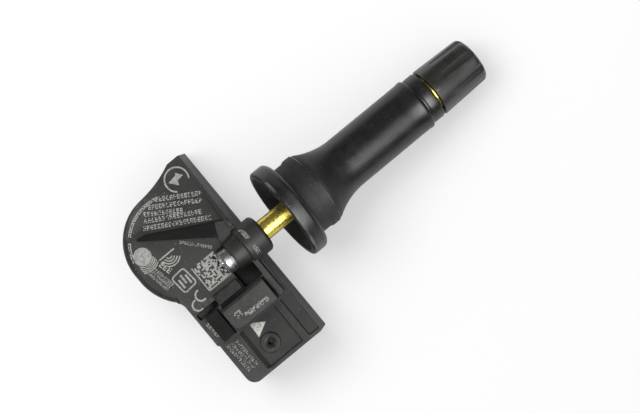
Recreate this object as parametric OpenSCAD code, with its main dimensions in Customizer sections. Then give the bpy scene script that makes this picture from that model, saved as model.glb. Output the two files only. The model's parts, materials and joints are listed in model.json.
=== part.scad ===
// Snap-in tyre pressure sensor, lying as it would on a table.
// The stem dips toward its cap along +X, the wing of the housing points to +Y
// and the labelled panel faces up. Millimetres.
//
// Two construction frames share one point, the seat of the retaining screw:
// the stem frame has Z along the valve stem, and the housing frame has Z out of
// the labelled panel, X toward the valve and Y toward the wing.

/* [Resting pose] */
// Downward lean of the valve stem toward its cap, degrees
stem_dip = 9.5; // [7:0.5:11]
// Downward lean of the housing away from the valve, degrees
housing_drop = 5; // [4:0.5:6.5]

/* [Housing plan] */
// Distance from the screw seat to the wall on the valve side
valve_edge = 4.2; // [3.8:0.1:5]
// Distance from the screw seat to the straight back wall
back_edge = 12.7; // [12:0.1:14]
// Distance from the stem to the end wall beside the port
port_end = 21.2; // [20.6:0.1:24]
// Distance from the stem to the end of the wing
wing_end = 20.9; // [20.2:0.1:23]
// Width of the blunt end of the wing
wing_tip_w = 2.7; // [2:0.1:4]
// Radius of the round battery bulge
bulge_r = 10.3; // [9.8:0.1:10.8]
// Bulge centre, behind the screw seat
bulge_back = 6.1; // [5.8:0.1:6.6]
// Bulge centre, toward the wing
bulge_side = 8.6; // [8.2:0.1:9]
// Radius of the heel that widens the bulge toward the stem
heel_r = 10.8; // [10.4:0.1:11.2]
// Heel centre, behind the screw seat
heel_back = 5.6; // [5.3:0.1:6]
// Heel centre, toward the wing
heel_side = 7.2; // [6.8:0.1:7.6]
// Radius of the hollow corner between heel and back wall
heel_fillet = 2.5; // [1.5:0.1:4]
// Hollow of the flank between bulge and wing tip
flank_sag = 0.35; // [0.1:0.05:0.8]
// Radius of the corner between back wall and port end
corner_r = 2; // [1:0.1:3]
// Rounding of the top edge around the bulge
bulge_edge_r = 1.2; // [0.4:0.1:2]

/* [Housing section] */
// Thickness of the housing from its panel to its underside
body_h = 12; // [11.5:0.1:13]
// Panel height below the stem axis at the screw seat
panel_drop = 0.9; // [0.6:0.1:1.3]
// Thickness of the side walls
wall = 1.5; // [1.2:0.1:1.8]
// Thickness of the moulded top under the panel
top_wall = 2.3; // [2:0.1:2.6]
// Thickness of the base cover
cover_t = 1.4; // [1:0.1:2]
// Width of the step that carries the base cover
cover_step = 0.7; // [0.4:0.1:0.9]
// Gap around the base cover
cover_gap = 0.05; // [0.02:0.01:0.2]
// Slope of the wing away from its rib, degrees
wing_slope = 6; // [2:0.5:7]

/* [Saddle] */
// Radius of the collar that holds the stem
collar_r = 3.8; // [3.5:0.1:4.2]
// Thickness of the wall that the screw pulls against
seat_wall = 1.6; // [1.2:0.1:2.2]
// Length of the sloping saddle behind the collar
saddle_len = 2.8; // [2.4:0.1:3.2]
// Length of the collar
collar_len = 4.7; // [4:0.1:6]
// Radius of the saddle at the screw seat
saddle_r = 2.9; // [2.8:0.1:3.2]
// Rounding of the collar's outer edge
collar_edge_r = 0.8; // [0.3:0.1:1.2]
// Rise of the rib above the panel where it meets the saddle
rib_rise = 1.5; // [0.8:0.1:2]
// Rise of the rib at its far end
rib_start = 0.6; // [0.3:0.1:0.9]
// Width of the ledge along the wing's valve side
ledge_w = 0.9; // [0.6:0.1:1.4]

/* [Panel features] */
// Depth of the pocket beside the saddle
pocket_depth = 3; // [1.5:0.1:3.6]
// Height of the clip block above the panel
clip_rise = 3; // [2:0.1:3.6]
// Length of the clip block across the panel
clip_len = 9.8; // [8:0.1:10.4]
// Width of the clip block
clip_w = 4.9; // [4:0.1:5.4]
// Rounding of the clip block's free corner
clip_corner_r = 1.3; // [0.5:0.1:2]
// Bevel along the clip block's upper edge
clip_bevel = 0.5; // [0.2:0.1:0.9]
// Height of the low block between screw and clip
low_block_rise = 1.2; // [0.6:0.1:2]
// Height of the block behind the clip
rear_block_rise = 1.8; // [1:0.1:2.6]
// Height of the rib between clip and valve side
side_rib_rise = 1.6; // [0.8:0.1:2.4]
// Depth of the port recess
recess_depth = 0.6; // [0.3:0.1:0.9]
// Depth of the step along the valve side of the port recess
step_depth = 0.5; // [0.3:0.1:0.9]
// Depth of the narrow slot behind the low block
slot_depth = 1.4; // [0.8:0.1:1.6]
// Radius of the ring around the port
port_ring_r = 1.9; // [1.5:0.1:2.3]
// Height of the ring around the port
port_ring_rise = 0.5; // [0.2:0.1:0.8]
// Radius of the pressure port
port_r = 0.45; // [0.3:0.05:0.6]

/* [Retaining screw] */
// Radius of the screw's head
head_r = 2.45; // [2.2:0.05:2.7]
// Height of the screw's head
head_h = 2; // [1.5:0.1:2.4]
// Radius of the screw's shank
shank_r = 1.2; // [1:0.05:1.3]
// Length of the screw under its head
shank_len = 7; // [5:0.5:8]

/* [Valve stem] */
// Radius of the brass foot held by the collar
foot_r = 2.05; // [1.9:0.05:2.2]
// Length of bare brass between collar and rubber
bare_len = 4.9; // [4:0.1:7]
// Radius of the brass under the rubber
root_r = 3; // [2.8:0.1:3.4]
// Outer radius of the cap thread
thread_r = 3.85; // [3.8:0.05:3.9]
// Length of the threaded nose past the rubber
nose_len = 8.8; // [8:0.1:10]
// Radius of the bore that takes the valve core
core_bore_r = 2.6; // [2.5:0.05:2.7]
// Radius of the air passage
air_r = 1; // [0.7:0.05:1.15]
// Radius of the cross hole that lets air into the tyre
cross_hole_r = 0.6; // [0.4:0.05:0.8]
// Radial gap of parts that slide or screw together
fit_gap = 0.05; // [0.02:0.01:0.08]

/* [Rubber valve] */
// Radius of the base flange
flange_r = 9.6; // [9:0.1:10]
// Thickness of the base flange
flange_t = 3.45; // [3:0.05:4]
// Rounding of the flange's rim on the bulb side
flange_edge_r = 1.1; // [0.5:0.1:1.4]
// Rounding of the flange's rim on the housing side
lip_edge_r = 0.5; // [0.2:0.1:1]
// Depth of the dish in the flange's inner face
dish_depth = 2.2; // [1:0.1:2.8]
// Width of the flat lip around the dish
lip_w = 0.9; // [0.3:0.1:1.4]
// Radius of the neck that fills the rim hole
neck_r = 7.35; // [6.8:0.05:7.5]
// Length of the neck
neck_len = 2.4; // [2.2:0.1:3]
// Radius of the bulb
bulb_r = 7.6; // [7.3:0.1:8]
// Length from the flange to the bulb's shoulder
bulb_len = 4.6; // [4:0.1:6]
// Radius of the hollow taper behind the shoulder
taper_r = 13.5; // [11:0.5:20]
// Radius of the rubber shank
shank_rubber_r = 5.25; // [5:0.05:5.6]
// Length of the rubber from flange to end ring
rubber_len = 33.3; // [28:0.1:38]
// Radius of the end ring
ring_r = 4.95; // [4.6:0.05:5.2]
// Length of the end ring
ring_len = 2.7; // [2:0.1:4]

/* [Valve core] */
// Length of the core's screwed barrel
barrel_len = 5.8; // [5:0.1:6.5]
// Length of the slimmer tail below the barrel
tail_len = 3.6; // [3.2:0.1:4]
// Length of the gasket around the tail
seal_len = 1.6; // [1:0.1:2]
// Depth of the core's top below the nose
core_depth = 1.2; // [0.8:0.1:2]
// Radius of the core's pin
pin_r = 0.5; // [0.4:0.05:0.6]
// Travel of the pin when it is pressed
pin_travel = 1.2; // [0.8:0.1:1.5]
// Radius of the sealing cup
cup_r = 1.5; // [1.3:0.05:1.6]
// Wire radius of the core's spring
wire_r = 0.16; // [0.12:0.02:0.2]
// Turns of the core's spring
spring_turns = 5; // [4:1:7]

/* [Valve cap] */
// Radius of the cap at its mouth
cap_r = 5; // [4.8:0.05:5.3]
// Radius of the cap at its tip
cap_tip_r = 4.65; // [4.4:0.05:5]
// Thickness of the sealing disc inside the cap
cap_gasket_t = 1; // [0.8:0.1:1.6]
// Rounding of the cap's tip
cap_edge_r = 1; // [0.4:0.1:1.4]
// Thickness of the cap's end wall
cap_end_t = 1.25; // [1:0.05:2]
// Gap between end ring and cap mouth
cap_gap = 0.4; // [0.2:0.1:0.8]
// Flutes around the cap
flutes = 8; // [6:1:10]
// Length of a flute
flute_len = 7.6; // [5:0.1:8.4]
// Width of a flute
flute_w = 2; // [1.2:0.1:2.2]
// Depth of a flute at the cap's tip
flute_depth = 0.35; // [0.15:0.05:0.4]
// Depth of a flute where it starts
flute_start_depth = 0.15; // [0.05:0.05:0.3]

/* [Electronics] */
// Radius of the battery
battery_r = 8; // [7:0.1:8.2]
// Thickness of the battery
battery_h = 3.2; // [2.5:0.1:3.4]
// Thickness of the circuit board
board_t = 1; // [0.8:0.1:1.2]
// Gap between the board's edge and the walls
board_gap = 0.5; // [0.3:0.1:0.8]
// Thickness of the battery tabs
tab_t = 0.2; // [0.1:0.05:0.3]
// Width of the battery tabs
tab_w = 4; // [3:0.1:5]
// Side of the square sensor chip
chip_w = 5; // [4:0.1:5.4]
// Height of the sensor chip
chip_h = 1.9; // [1.5:0.1:2.2]
// Outer radius of the port gasket
gasket_r = 2; // [1.6:0.1:2.4]
// Height of the port gasket
gasket_h = 1.3; // [0.8:0.1:1.6]
// Thickness of the port membrane
membrane_t = 0.15; // [0.1:0.05:0.3]
// Length of the pickup coil's core
coil_len = 8; // [6:0.1:9]
// Width of the pickup coil
coil_w = 2.6; // [2:0.1:3]
// Height of the pickup coil
coil_h = 2.5; // [2:0.1:3]
// Gap between the antenna loop and the plastic under the pocket
loop_gap = 2.2; // [0.5:0.1:4]
// Height of the antenna loop
loop_h = 3.4; // [2.4:0.1:3.8]
// Thickness of the antenna strip
loop_t = 0.6; // [0.4:0.1:0.8]
// Radius of the posts that hold the board
post_r = 0.9; // [0.7:0.1:1.1]

/* [Hidden] */
$fn = 96;
eps = 0.01;
over = 1;
big = 60;

// Stations along the stem, from the screw seat toward the cap
foot_s = seat_wall;
collar_s = saddle_len + collar_len;
flange_s = collar_s + bare_len;
rim_seat_s = flange_s + flange_t;
shoulder_s = rim_seat_s + bulb_len;
rubber_end_s = flange_s + rubber_len + ring_len;
ring_s = rubber_end_s - ring_len;
nose_s = rubber_end_s + nose_len;
cap_mouth_s = rubber_end_s + cap_gap;
cap_tip_s = nose_s + cap_gasket_t + fit_gap + cap_end_t;
grip_s = flange_s + dish_depth;
taper_end_s = shoulder_s + sqrt(pow(taper_r, 2) - pow(taper_r - bulb_r + shank_rubber_r, 2));

// Levels in the housing frame
panel_z = -panel_drop;
base_z = panel_z - body_h;
ceiling_z = panel_z - top_wall;
cover_z = base_z + cover_t;
board_z = ceiling_z - battery_h - 2 * tab_t - 0.6;
port_z = panel_z - recess_depth;
pocket_z = panel_z - pocket_depth;
port_boss_h = ceiling_z - board_z - chip_h - gasket_h;
gasket_hole_r = gasket_r - 1.2;
tap_r = shank_r + fit_gap;
lobe_depth = 1.2;
collar_bore_r = foot_r + fit_gap;
saddle_end_r = collar_r - 0.4;

// Valve core, from the pin's foot to the top of the barrel
core_top_s = nose_s - core_depth;
core_foot_s = core_top_s - barrel_len;
tail_s = core_foot_s - tail_len;
cup_len = 0.8;
cup_s = tail_s - cup_len;
chamber_s = cup_s - pin_travel - 1.8;
bridge_t = 0.8;
chamber_r = core_bore_r - 0.65;
barrel_r = core_bore_r - fit_gap;
tail_r = chamber_r - 0.35;
spring_bore_r = core_bore_r - 1;
pin_hole_r = pin_r + 0.08;
pin_collar_t = 0.5;
pin_collar_s = core_top_s - 0.9 - pin_collar_t;
pin_tip_s = nose_s - 0.3;
spring_s = core_foot_s + bridge_t;
spring_gap = 0.03;
thread_root_r = thread_r - 0.35;
cap_bore_r = thread_r + fit_gap;
flute_turn = -12;
pin_dish = 0.4;
cap_taper = atan((cap_r - cap_tip_r) / (cap_tip_s - cap_edge_r - cap_mouth_s));

// Plan of the housing
bulge_at = [-bulge_back, bulge_side];
heel_at = [-heel_back, heel_side];
fillet_x = -back_edge - heel_fillet;
fillet_y = heel_side - sqrt(pow(heel_r + heel_fillet, 2) - pow(fillet_x + heel_back, 2));
back_step_y = -11.3;
back_step = 0.3;
corner_at = [-back_edge + back_step + corner_r, -port_end + corner_r];
flank_from = [-bulge_back, bulge_side + bulge_r];
flank_to = [valve_edge - wing_tip_w, wing_end];

// Rib between the wing and the panel, as a tapered strip in plan
rib_tip = [-12.4, 13.8];
rib_shoulder = [-9.8, 13.3];
rib_root_wing = [3.8, 5.9];
rib_root_panel = [0.2, 4.6];
rib_run = norm(rib_root_wing - rib_tip);
rib_dir = atan2(rib_root_wing[1] - rib_tip[1], rib_root_wing[0] - rib_tip[0]);
rib_angle = atan((rib_rise - rib_start) / rib_run);
ledge_from = 4.4;
ledge_to = 15.6;

// Features of the panel, as plan positions in the housing frame
clip_edge_y = -6.5;
clip_valve_x = 2.1;
clip_y = clip_edge_y - clip_w;
pocket_x = [-1.7, 2.6];
pocket_y = [-6.1, -2.2];
boss_wall = 0.9;
low_block_x = [-7.4, -1.9];
low_block_y = [-5.6, -3.6];
rear_block_x = [-11, -8.2];
rear_block_y = [-11.5, -5.7];
slot_x = [-12.1, -7.5];
slot_y = [-5.5, -4.3];
side_rib_x = [2.5, 3.7];
side_rib_y = [-11.3, -saddle_end_r];
recess_x = [-8.2, 0.3];
recess_y = [-port_end + 0.8, clip_y - 0.5];
recess_slope_w = 0.9;
step_x = [1.9, valve_edge + 1];
port_at = [-4.6, -port_end + 4.3];
shoulder_x = [0.3, valve_edge];
shoulder_y = [-saddle_end_r, rib_root_wing[1] - 0.3];

// Positions of the electronics on the board
battery_at = [-6.3, 9];
coil_at = [-6.3, -port_end + 10.8];
coil_inset = 0.7;
coil_flange_t = 0.8;
wire_inset = 0.2;
loop_x = 1.7;
loop_y = -port_end + 3;
loop_len = pocket_y[0] - boss_wall - loop_gap - loop_y;
crystal_size = [2.5, 3.2, 0.8];
crystal_at = [-10.3, -port_end + 4];
capacitor_size = [0.8, 1.4, 0.6];
capacitor_at = [-9.2, -port_end + 7.6];
capacitor_step = 1.5;
capacitors = 5;
post_at = [[0.9, wing_end - 3.9], [-10, -1.4], [-9.3, -port_end + 2.6], [0.2, -port_end + 12.6]];

// Resting height of the screw seat: the bulge's back edge and the cap's tip
// touch the table, and the lower of the two sets the height.
housing_reach = (bulge_back + bulge_r) * sin(housing_drop) - base_z * cos(housing_drop);
tip_edge_s = cap_tip_s - cap_edge_r;
tip_edge_at = cap_tip_r - cap_edge_r;
cap_reach = tip_edge_s * sin(stem_dip) + tip_edge_at * cos(stem_dip) + cap_edge_r;
seat_z = max(housing_reach, cap_reach);

// The part is centred between the bulge's back edge and the cap's tip
bulge_edge_x = bulge_back + bulge_r - bulge_edge_r;
bulge_edge_z = panel_drop + bulge_edge_r;
back_reach = bulge_edge_x * cos(housing_drop) - bulge_edge_z * sin(housing_drop) + bulge_edge_r;
tip_reach = tip_edge_s * cos(stem_dip) + tip_edge_at * sin(stem_dip) + cap_edge_r;
seat_x = (back_reach - tip_reach) / 2;
seat_y = (port_end - wing_end) / 2;
relative_dip = stem_dip + housing_drop;

module in_stem_frame() {
    translate([seat_x, seat_y, seat_z])
        rotate([0, 90 + stem_dip, 0])
            children();
}

module in_housing_frame() {
    translate([seat_x, seat_y, seat_z])
        rotate([0, -housing_drop, 0])
            children();
}

// The stem's own frame, seen from inside the housing frame
module stem_in_housing() {
    rotate([0, 90 + relative_dip, 0])
        children();
}

module block(x, y, z) {
    translate([x[0], y[0], z[0]])
        cube([x[1] - x[0], y[1] - y[0], z[1] - z[0]]);
}

module bar(s, r, length) {
    translate([0, 0, s])
        cylinder(r = r, h = length);
}

// Outline of the housing, moved inward by inset
module housing_plan(inset = 0) {
    intersection() {
        union() {
            translate(bulge_at)
                circle(r = bulge_r - inset);
            translate(heel_at)
                circle(r = heel_r - inset);
        }
        translate([-big, -big / 2])
            square(big);
    }
    translate(corner_at)
        circle(r = max(corner_r - inset, 0.3));
    heel_corner(inset);
    difference() {
        straight_plan(inset);
        flank_hollow(inset);
    }
}

module straight_plan(inset) {
    back = -back_edge + inset;
    polygon([
        [valve_edge - inset, -port_end + inset],
        [valve_edge - inset, wing_end - inset],
        [flank_to[0], wing_end - inset],
        [flank_from[0], flank_from[1] - inset],
        bulge_at,
        heel_at,
        [heel_at[0], fillet_y],
        [back, fillet_y],
        [back, back_step_y],
        [back + back_step, back_step_y],
        [back + back_step, corner_at[1]],
        [corner_at[0], -port_end + inset]
    ]);
}

// Hollow corner where the heel runs into the back wall
module heel_corner(inset) {
    difference() {
        polygon([heel_at, [fillet_x, fillet_y], [heel_at[0], fillet_y]]);
        translate([fillet_x, fillet_y])
            circle(r = heel_fillet + inset);
    }
}

// Large circle whose edge hollows the flank between bulge and wing tip
module flank_hollow(inset) {
    chord = norm(flank_to - flank_from);
    radius = (pow(chord / 2, 2) + pow(flank_sag, 2)) / (2 * flank_sag);
    across = (flank_to - flank_from) / chord;
    middle = (flank_to + flank_from) / 2;
    centre = middle + [-across[1], across[0]] * (radius - flank_sag);
    translate(centre)
        circle(r = radius + inset, $fn = 360);
}

// Round body of the battery bulge, with its top edge rounded
module drum(r) {
    translate([0, 0, base_z])
        rotate_extrude()
            union() {
                square([r - bulge_edge_r, body_h]);
                square([r, body_h - bulge_edge_r]);
                translate([r - bulge_edge_r, body_h - bulge_edge_r])
                    circle(r = bulge_edge_r, $fn = 48);
            }
}

// Solid body of the housing, up to the level of the panel
module housing_block() {
    difference() {
        union() {
            translate(bulge_at)
                drum(bulge_r);
            translate(heel_at)
                drum(heel_r);
        }
        translate([0, -big / 2, -big / 2])
            cube(big);
    }
    translate([0, 0, base_z])
        linear_extrude(body_h) {
            translate(corner_at)
                circle(r = corner_r);
            heel_corner(0);
            difference() {
                straight_plan(0);
                flank_hollow(0);
            }
        }
}

module housing_cavity() {
    translate([0, 0, cover_z - eps])
        linear_extrude(ceiling_z - cover_z + eps)
            housing_plan(wall);
    translate([0, 0, base_z - 1])
        linear_extrude(cover_t + 1)
            housing_plan(wall - cover_step);
}

// Everything above the sloping top of the wing
module above_wing() {
    translate([rib_tip[0], rib_tip[1], panel_z])
        rotate([0, 0, rib_dir])
            rotate([-wing_slope, 0, 0])
                translate([-big / 2, 0, 0])
                    cube([big, big, big]);
}

// Half space below the rib's rising top, and below the slope at its far end
module below_rib_top(rise, angle) {
    translate([rib_tip[0], rib_tip[1], panel_z + rise])
        rotate([0, 0, rib_dir])
            rotate([0, -angle, 0])
                translate([-big / 2, -big / 2, -big])
                    cube([big, big, big]);
}

module rib() {
    intersection() {
        translate([0, 0, ceiling_z])
            linear_extrude(top_wall + rib_rise)
                polygon([rib_tip, rib_shoulder, rib_root_wing, rib_root_panel]);
        below_rib_top(rib_start, rib_angle);
        below_rib_top(0, 18);
    }
}

// Ledge along the valve side of the wing, rising toward the saddle
module ledge() {
    drop_at_end = (ledge_to - rib_root_wing[1]) * tan(wing_slope);
    rotate([90, 0, 90])
        translate([0, 0, valve_edge - ledge_w])
            linear_extrude(ledge_w)
                polygon([
                    [ledge_from, ceiling_z],
                    [ledge_from, panel_z + rib_rise],
                    [rib_root_wing[1], panel_z + rib_rise],
                    [ledge_to, panel_z - drop_at_end],
                    [ledge_to, ceiling_z]
                ]);
}

// Cone behind the collar, and the round collar that holds the stem
module saddle() {
    stem_in_housing() {
        cylinder(r1 = saddle_r, r2 = saddle_end_r, h = saddle_len);
        translate([0, 0, saddle_len])
            rotate_extrude()
                union() {
                    square([collar_r - collar_edge_r, collar_len]);
                    square([collar_r, collar_len - collar_edge_r]);
                    translate([collar_r - collar_edge_r, collar_len - collar_edge_r])
                        circle(r = collar_edge_r, $fn = 32);
                }
    }
}

// Raised plastic from the rib's root to the collar's other side
module shoulder() {
    block(shoulder_x, shoulder_y, [ceiling_z - 0.4, panel_z + 0.9]);
}

// Solid plastic inside the housing that carries the saddle, pocket, port and posts
module inner_bosses() {
    block([pocket_x[0] - boss_wall, valve_edge - 0.3], [pocket_y[0] - boss_wall, pocket_y[1] + boss_wall],
        [pocket_z - 1, ceiling_z + eps]);
    translate([port_at[0], port_at[1], ceiling_z - port_boss_h])
        cylinder(r = gasket_r + 0.2, h = port_boss_h + eps);
    for (at = post_at)
        translate([at[0], at[1], board_z])
            cylinder(r = post_r, h = ceiling_z - board_z + eps);
}

module panel_blocks() {
    top = panel_z;
    root = panel_z - 1;
    difference() {
        block([clip_valve_x - clip_len, clip_valve_x], [clip_y, clip_edge_y], [root, top + clip_rise]);
        translate([clip_valve_x - clip_len, clip_edge_y, top + clip_rise])
            rotate([45, 0, 0])
                cube([big, clip_bevel * sqrt(2), clip_bevel * sqrt(2)], center = true);
        clip_corner_cut();
    }
    block(low_block_x, low_block_y, [root, top + low_block_rise]);
    block(rear_block_x, rear_block_y, [root, top + rear_block_rise]);
    side_rib();
}

module clip_corner_cut() {
    translate([clip_valve_x - clip_len, clip_y, panel_z])
        difference() {
            translate([-1, -1, 0])
                cube([clip_corner_r + 1, clip_corner_r + 1, clip_rise + 1]);
            translate([clip_corner_r, clip_corner_r, 0])
                cylinder(r = clip_corner_r, h = big, center = true);
        }
}

module side_rib() {
    width = side_rib_x[1] - side_rib_x[0];
    middle = (side_rib_x[0] + side_rib_x[1]) / 2;
    translate([0, 0, panel_z - 1])
        linear_extrude(side_rib_rise + 1)
            union() {
                translate([side_rib_x[0], side_rib_y[0] + width / 2])
                    square([width, side_rib_y[1] - side_rib_y[0]]);
                translate([middle, side_rib_y[0] + width / 2])
                    circle(d = width, $fn = 32);
            }
}

module panel_cuts() {
    top = panel_z + big;
    block(pocket_x, pocket_y, [pocket_z, top]);
    block([low_block_x[0], pocket_x[0] + eps], [clip_edge_y, low_block_y[0]], [panel_z - 0.8, top]);
    block(slot_x, slot_y, [panel_z - slot_depth, top]);
    port_recess();
    block(step_x, recess_y, [panel_z - step_depth, top]);
}

// Recess around the port, with one sloping side along the back
module port_recess() {
    rotate([90, 0, 0])
        translate([0, 0, -recess_y[1]])
            linear_extrude(recess_y[1] - recess_y[0])
                polygon([
                    [recess_x[0], panel_z + eps],
                    [recess_x[0] + recess_slope_w, port_z],
                    [recess_x[1], port_z],
                    [recess_x[1], panel_z + eps]
                ]);
}

module port_ring() {
    translate([port_at[0], port_at[1], port_z - 0.5])
        cylinder(r = port_ring_r, h = port_ring_rise + 0.5);
}

module port_bore() {
    translate([port_at[0], port_at[1], 0]) {
        translate([0, 0, port_z + port_ring_rise - 0.4])
            cylinder(r1 = port_r, r2 = port_r * 2.4, h = 0.4 + eps);
        translate([0, 0, ceiling_z - port_boss_h - 1])
            cylinder(r = port_r, h = big);
        translate([0, 0, ceiling_z - port_boss_h - eps])
            cylinder(r = gasket_r - 0.5, h = membrane_t + eps);
    }
}

// Pocket for the screw's head, hole for its shank and bore for the stem's foot
module stem_cuts() {
    stem_in_housing() {
        bar(-head_h - 0.5, head_r + 0.3, head_h + 0.5);
        bar(-eps, shank_r + 0.15, seat_wall + 2 * eps);
        bar(foot_s, collar_bore_r, collar_s);
    }
}

module housing() {
    color([0.17, 0.17, 0.165])
        in_housing_frame()
            difference() {
                union() {
                    difference() {
                        union() {
                            difference() {
                                housing_block();
                                above_wing();
                            }
                            rib();
                            ledge();
                            shoulder();
                            panel_blocks();
                        }
                        housing_cavity();
                        panel_cuts();
                    }
                    saddle();
                    difference() {
                        inner_bosses();
                        panel_cuts();
                    }
                    port_ring();
                }
                stem_cuts();
                port_bore();
            }
}

module base_cover() {
    color([0.14, 0.14, 0.14])
        in_housing_frame() {
            translate([0, 0, base_z])
                linear_extrude(cover_t)
                    housing_plan(wall - cover_step + cover_gap);
            for (at = post_at)
                translate([at[0], at[1], cover_z - eps])
                    cylinder(r = post_r, h = board_z - board_t - cover_z + eps);
        }
}

module circuit_board() {
    color([0.05, 0.3, 0.15])
        in_housing_frame()
            translate([0, 0, board_z - board_t])
                linear_extrude(board_t)
                    housing_plan(wall + board_gap);
}

module battery_cell() {
    color([0.75, 0.75, 0.74])
        in_housing_frame()
            translate([battery_at[0], battery_at[1], board_z + tab_t])
                rotate_extrude()
                    difference() {
                        square([battery_r, battery_h]);
                        translate([battery_r - 0.8, battery_h - 0.4])
                            square([1, 1]);
                    }
}

module battery_tab_bottom() {
    color([0.7, 0.68, 0.62])
        in_housing_frame()
            translate([battery_at[0] - tab_w / 2, battery_at[1] - battery_r * 0.8, board_z])
                cube([tab_w, battery_r * 1.6, tab_t]);
}

module battery_tab_top() {
    leg_y = battery_at[1] - battery_r - 0.3 - tab_t;
    top = board_z + tab_t + battery_h;
    color([0.7, 0.68, 0.62])
        in_housing_frame()
            translate([battery_at[0] - tab_w / 2, leg_y, 0]) {
                translate([0, 0, top])
                    cube([tab_w, battery_r * 1.3, tab_t]);
                translate([0, 0, board_z])
                    cube([tab_w, tab_t, top - board_z + eps]);
            }
}

module sensor_chip() {
    color([0.1, 0.1, 0.11])
        in_housing_frame()
            translate([port_at[0], port_at[1], board_z])
                difference() {
                    translate([-chip_w / 2, -chip_w / 2, 0])
                        cube([chip_w, chip_w, chip_h]);
                    translate([0, 0, chip_h / 2])
                        cylinder(r = port_r, h = chip_h);
                }
}

module port_gasket() {
    color([0.75, 0.35, 0.2])
        in_housing_frame()
            translate([port_at[0], port_at[1], board_z + chip_h])
                difference() {
                    cylinder(r = gasket_r, h = gasket_h);
                    translate([0, 0, -over])
                        cylinder(r = gasket_hole_r, h = gasket_h + 2 * over);
                }
}

module port_membrane() {
    color([0.92, 0.92, 0.9])
        in_housing_frame()
            translate([port_at[0], port_at[1], board_z + chip_h + gasket_h])
                cylinder(r = gasket_r - 0.5 - fit_gap, h = membrane_t);
}

module loop_antenna() {
    color([0.78, 0.6, 0.3])
        in_housing_frame()
            translate([loop_x, loop_y, board_z])
                difference() {
                    cube([loop_t, loop_len, loop_h]);
                    translate([-over, loop_t, -over])
                        cube([loop_t + 2 * over, loop_len - 2 * loop_t, loop_h - loop_t + over]);
                }
}

// Drum core with a flange at each end, its axis across the board
module coil_core() {
    flange = coil_flange_t;
    color([0.25, 0.25, 0.27])
        in_housing_frame()
            translate([coil_at[0] - coil_len / 2, coil_at[1] - coil_w / 2, board_z]) {
                cube([flange, coil_w, coil_h]);
                translate([coil_len - flange, 0, 0])
                    cube([flange, coil_w, coil_h]);
                translate([flange - eps, coil_inset, coil_inset])
                    cube([coil_len - 2 * flange + 2 * eps, coil_w - 2 * coil_inset, coil_h - 2 * coil_inset]);
            }
}

module coil_winding() {
    run = coil_len - 2 * coil_flange_t;
    color([0.72, 0.38, 0.18])
        in_housing_frame()
            translate([coil_at[0] - run / 2, coil_at[1] - coil_w / 2, board_z])
                difference() {
                    translate([0, wire_inset, wire_inset])
                        cube([run, coil_w - 2 * wire_inset, coil_h - 2 * wire_inset]);
                    translate([-over, coil_inset, coil_inset])
                        cube([run + 2 * over, coil_w - 2 * coil_inset, coil_h - 2 * coil_inset]);
                }
}

module crystal_can() {
    color([0.8, 0.8, 0.8])
        in_housing_frame()
            translate([crystal_at[0], crystal_at[1], board_z])
                cube(crystal_size);
}

module board_capacitors() {
    color([0.7, 0.6, 0.45])
        in_housing_frame()
            for (i = [0 : capacitors - 1])
                translate([capacitor_at[0] + i * capacitor_step, capacitor_at[1], board_z])
                    cube(capacitor_size);
}

// Outer half section of the brass stem, from its foot to its nose
module stem_profile() {
    root_s = grip_s + 0.6;
    thread_s = rubber_end_s + 0.8;
    polygon([
        [0, foot_s],
        [foot_r - 0.3, foot_s],
        [foot_r, foot_s + 0.3],
        [foot_r, root_s],
        [root_r, root_s + root_r - foot_r],
        [root_r, ring_s - 1],
        [thread_root_r, ring_s],
        [thread_root_r, thread_s],
        [thread_r, thread_s + thread_r - thread_root_r],
        [thread_r, nose_s - 0.5],
        [thread_r - 0.5, nose_s],
        [0, nose_s]
    ]);
}

// Section of the air way: screw thread, passage, core chamber, seat and mouth
module stem_hollow() {
    tap_end = shank_len + 0.6;
    seat_s = core_foot_s - 0.2;
    polygon([
        [0, foot_s - 1],
        [tap_r, foot_s - 1],
        [tap_r, tap_end],
        [air_r, tap_end + 0.3],
        [air_r, chamber_s],
        [chamber_r, chamber_s + 1],
        [chamber_r, seat_s - 1],
        [core_bore_r, seat_s],
        [core_bore_r, nose_s - 0.4],
        [core_bore_r + 0.45, nose_s + eps],
        [core_bore_r + 0.45, nose_s + 1],
        [0, nose_s + 1]
    ]);
}

module stem_tube() {
    color([0.8, 0.62, 0.25])
        in_stem_frame()
            difference() {
                rotate_extrude()
                    stem_profile();
                rotate_extrude()
                    stem_hollow();
                translate([0, 0, collar_s + bare_len * 0.35])
                    rotate([0, 90, 0])
                        cylinder(r = cross_hole_r, h = foot_r + 1);
            }
}

// Outer half section of the rubber, less the brass it is bonded to
module rubber_profile() {
    difference() {
        union() {
            flange_section();
            translate([0, rim_seat_s - 1])
                square([neck_r, bulb_len]);
            bulb_section();
            translate([0, shoulder_s - 1])
                square([shank_rubber_r, ring_s - shoulder_s + 1]);
            translate([0, ring_s - 1])
                square([ring_r - 0.3, ring_len + 1]);
            translate([0, ring_s + 0.3])
                square([ring_r, ring_len - 0.6]);
            for (s = [ring_s + 0.3, rubber_end_s - 0.3])
                translate([ring_r - 0.3, s])
                    circle(r = 0.3, $fn = 24);
        }
        taper_cut();
        dish_cut();
        stem_profile();
    }
}

// Base flange, with its rim rounded more on the bulb side
module flange_section() {
    translate([0, flange_s + lip_edge_r])
        square([flange_r, flange_t - lip_edge_r - flange_edge_r]);
    translate([0, flange_s])
        square([flange_r - lip_edge_r, flange_t - flange_edge_r]);
    translate([0, flange_s])
        square([flange_r - flange_edge_r, flange_t]);
    translate([flange_r - lip_edge_r, flange_s + lip_edge_r])
        circle(r = lip_edge_r, $fn = 32);
    translate([flange_r - flange_edge_r, rim_seat_s - flange_edge_r])
        circle(r = flange_edge_r, $fn = 48);
}

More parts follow.
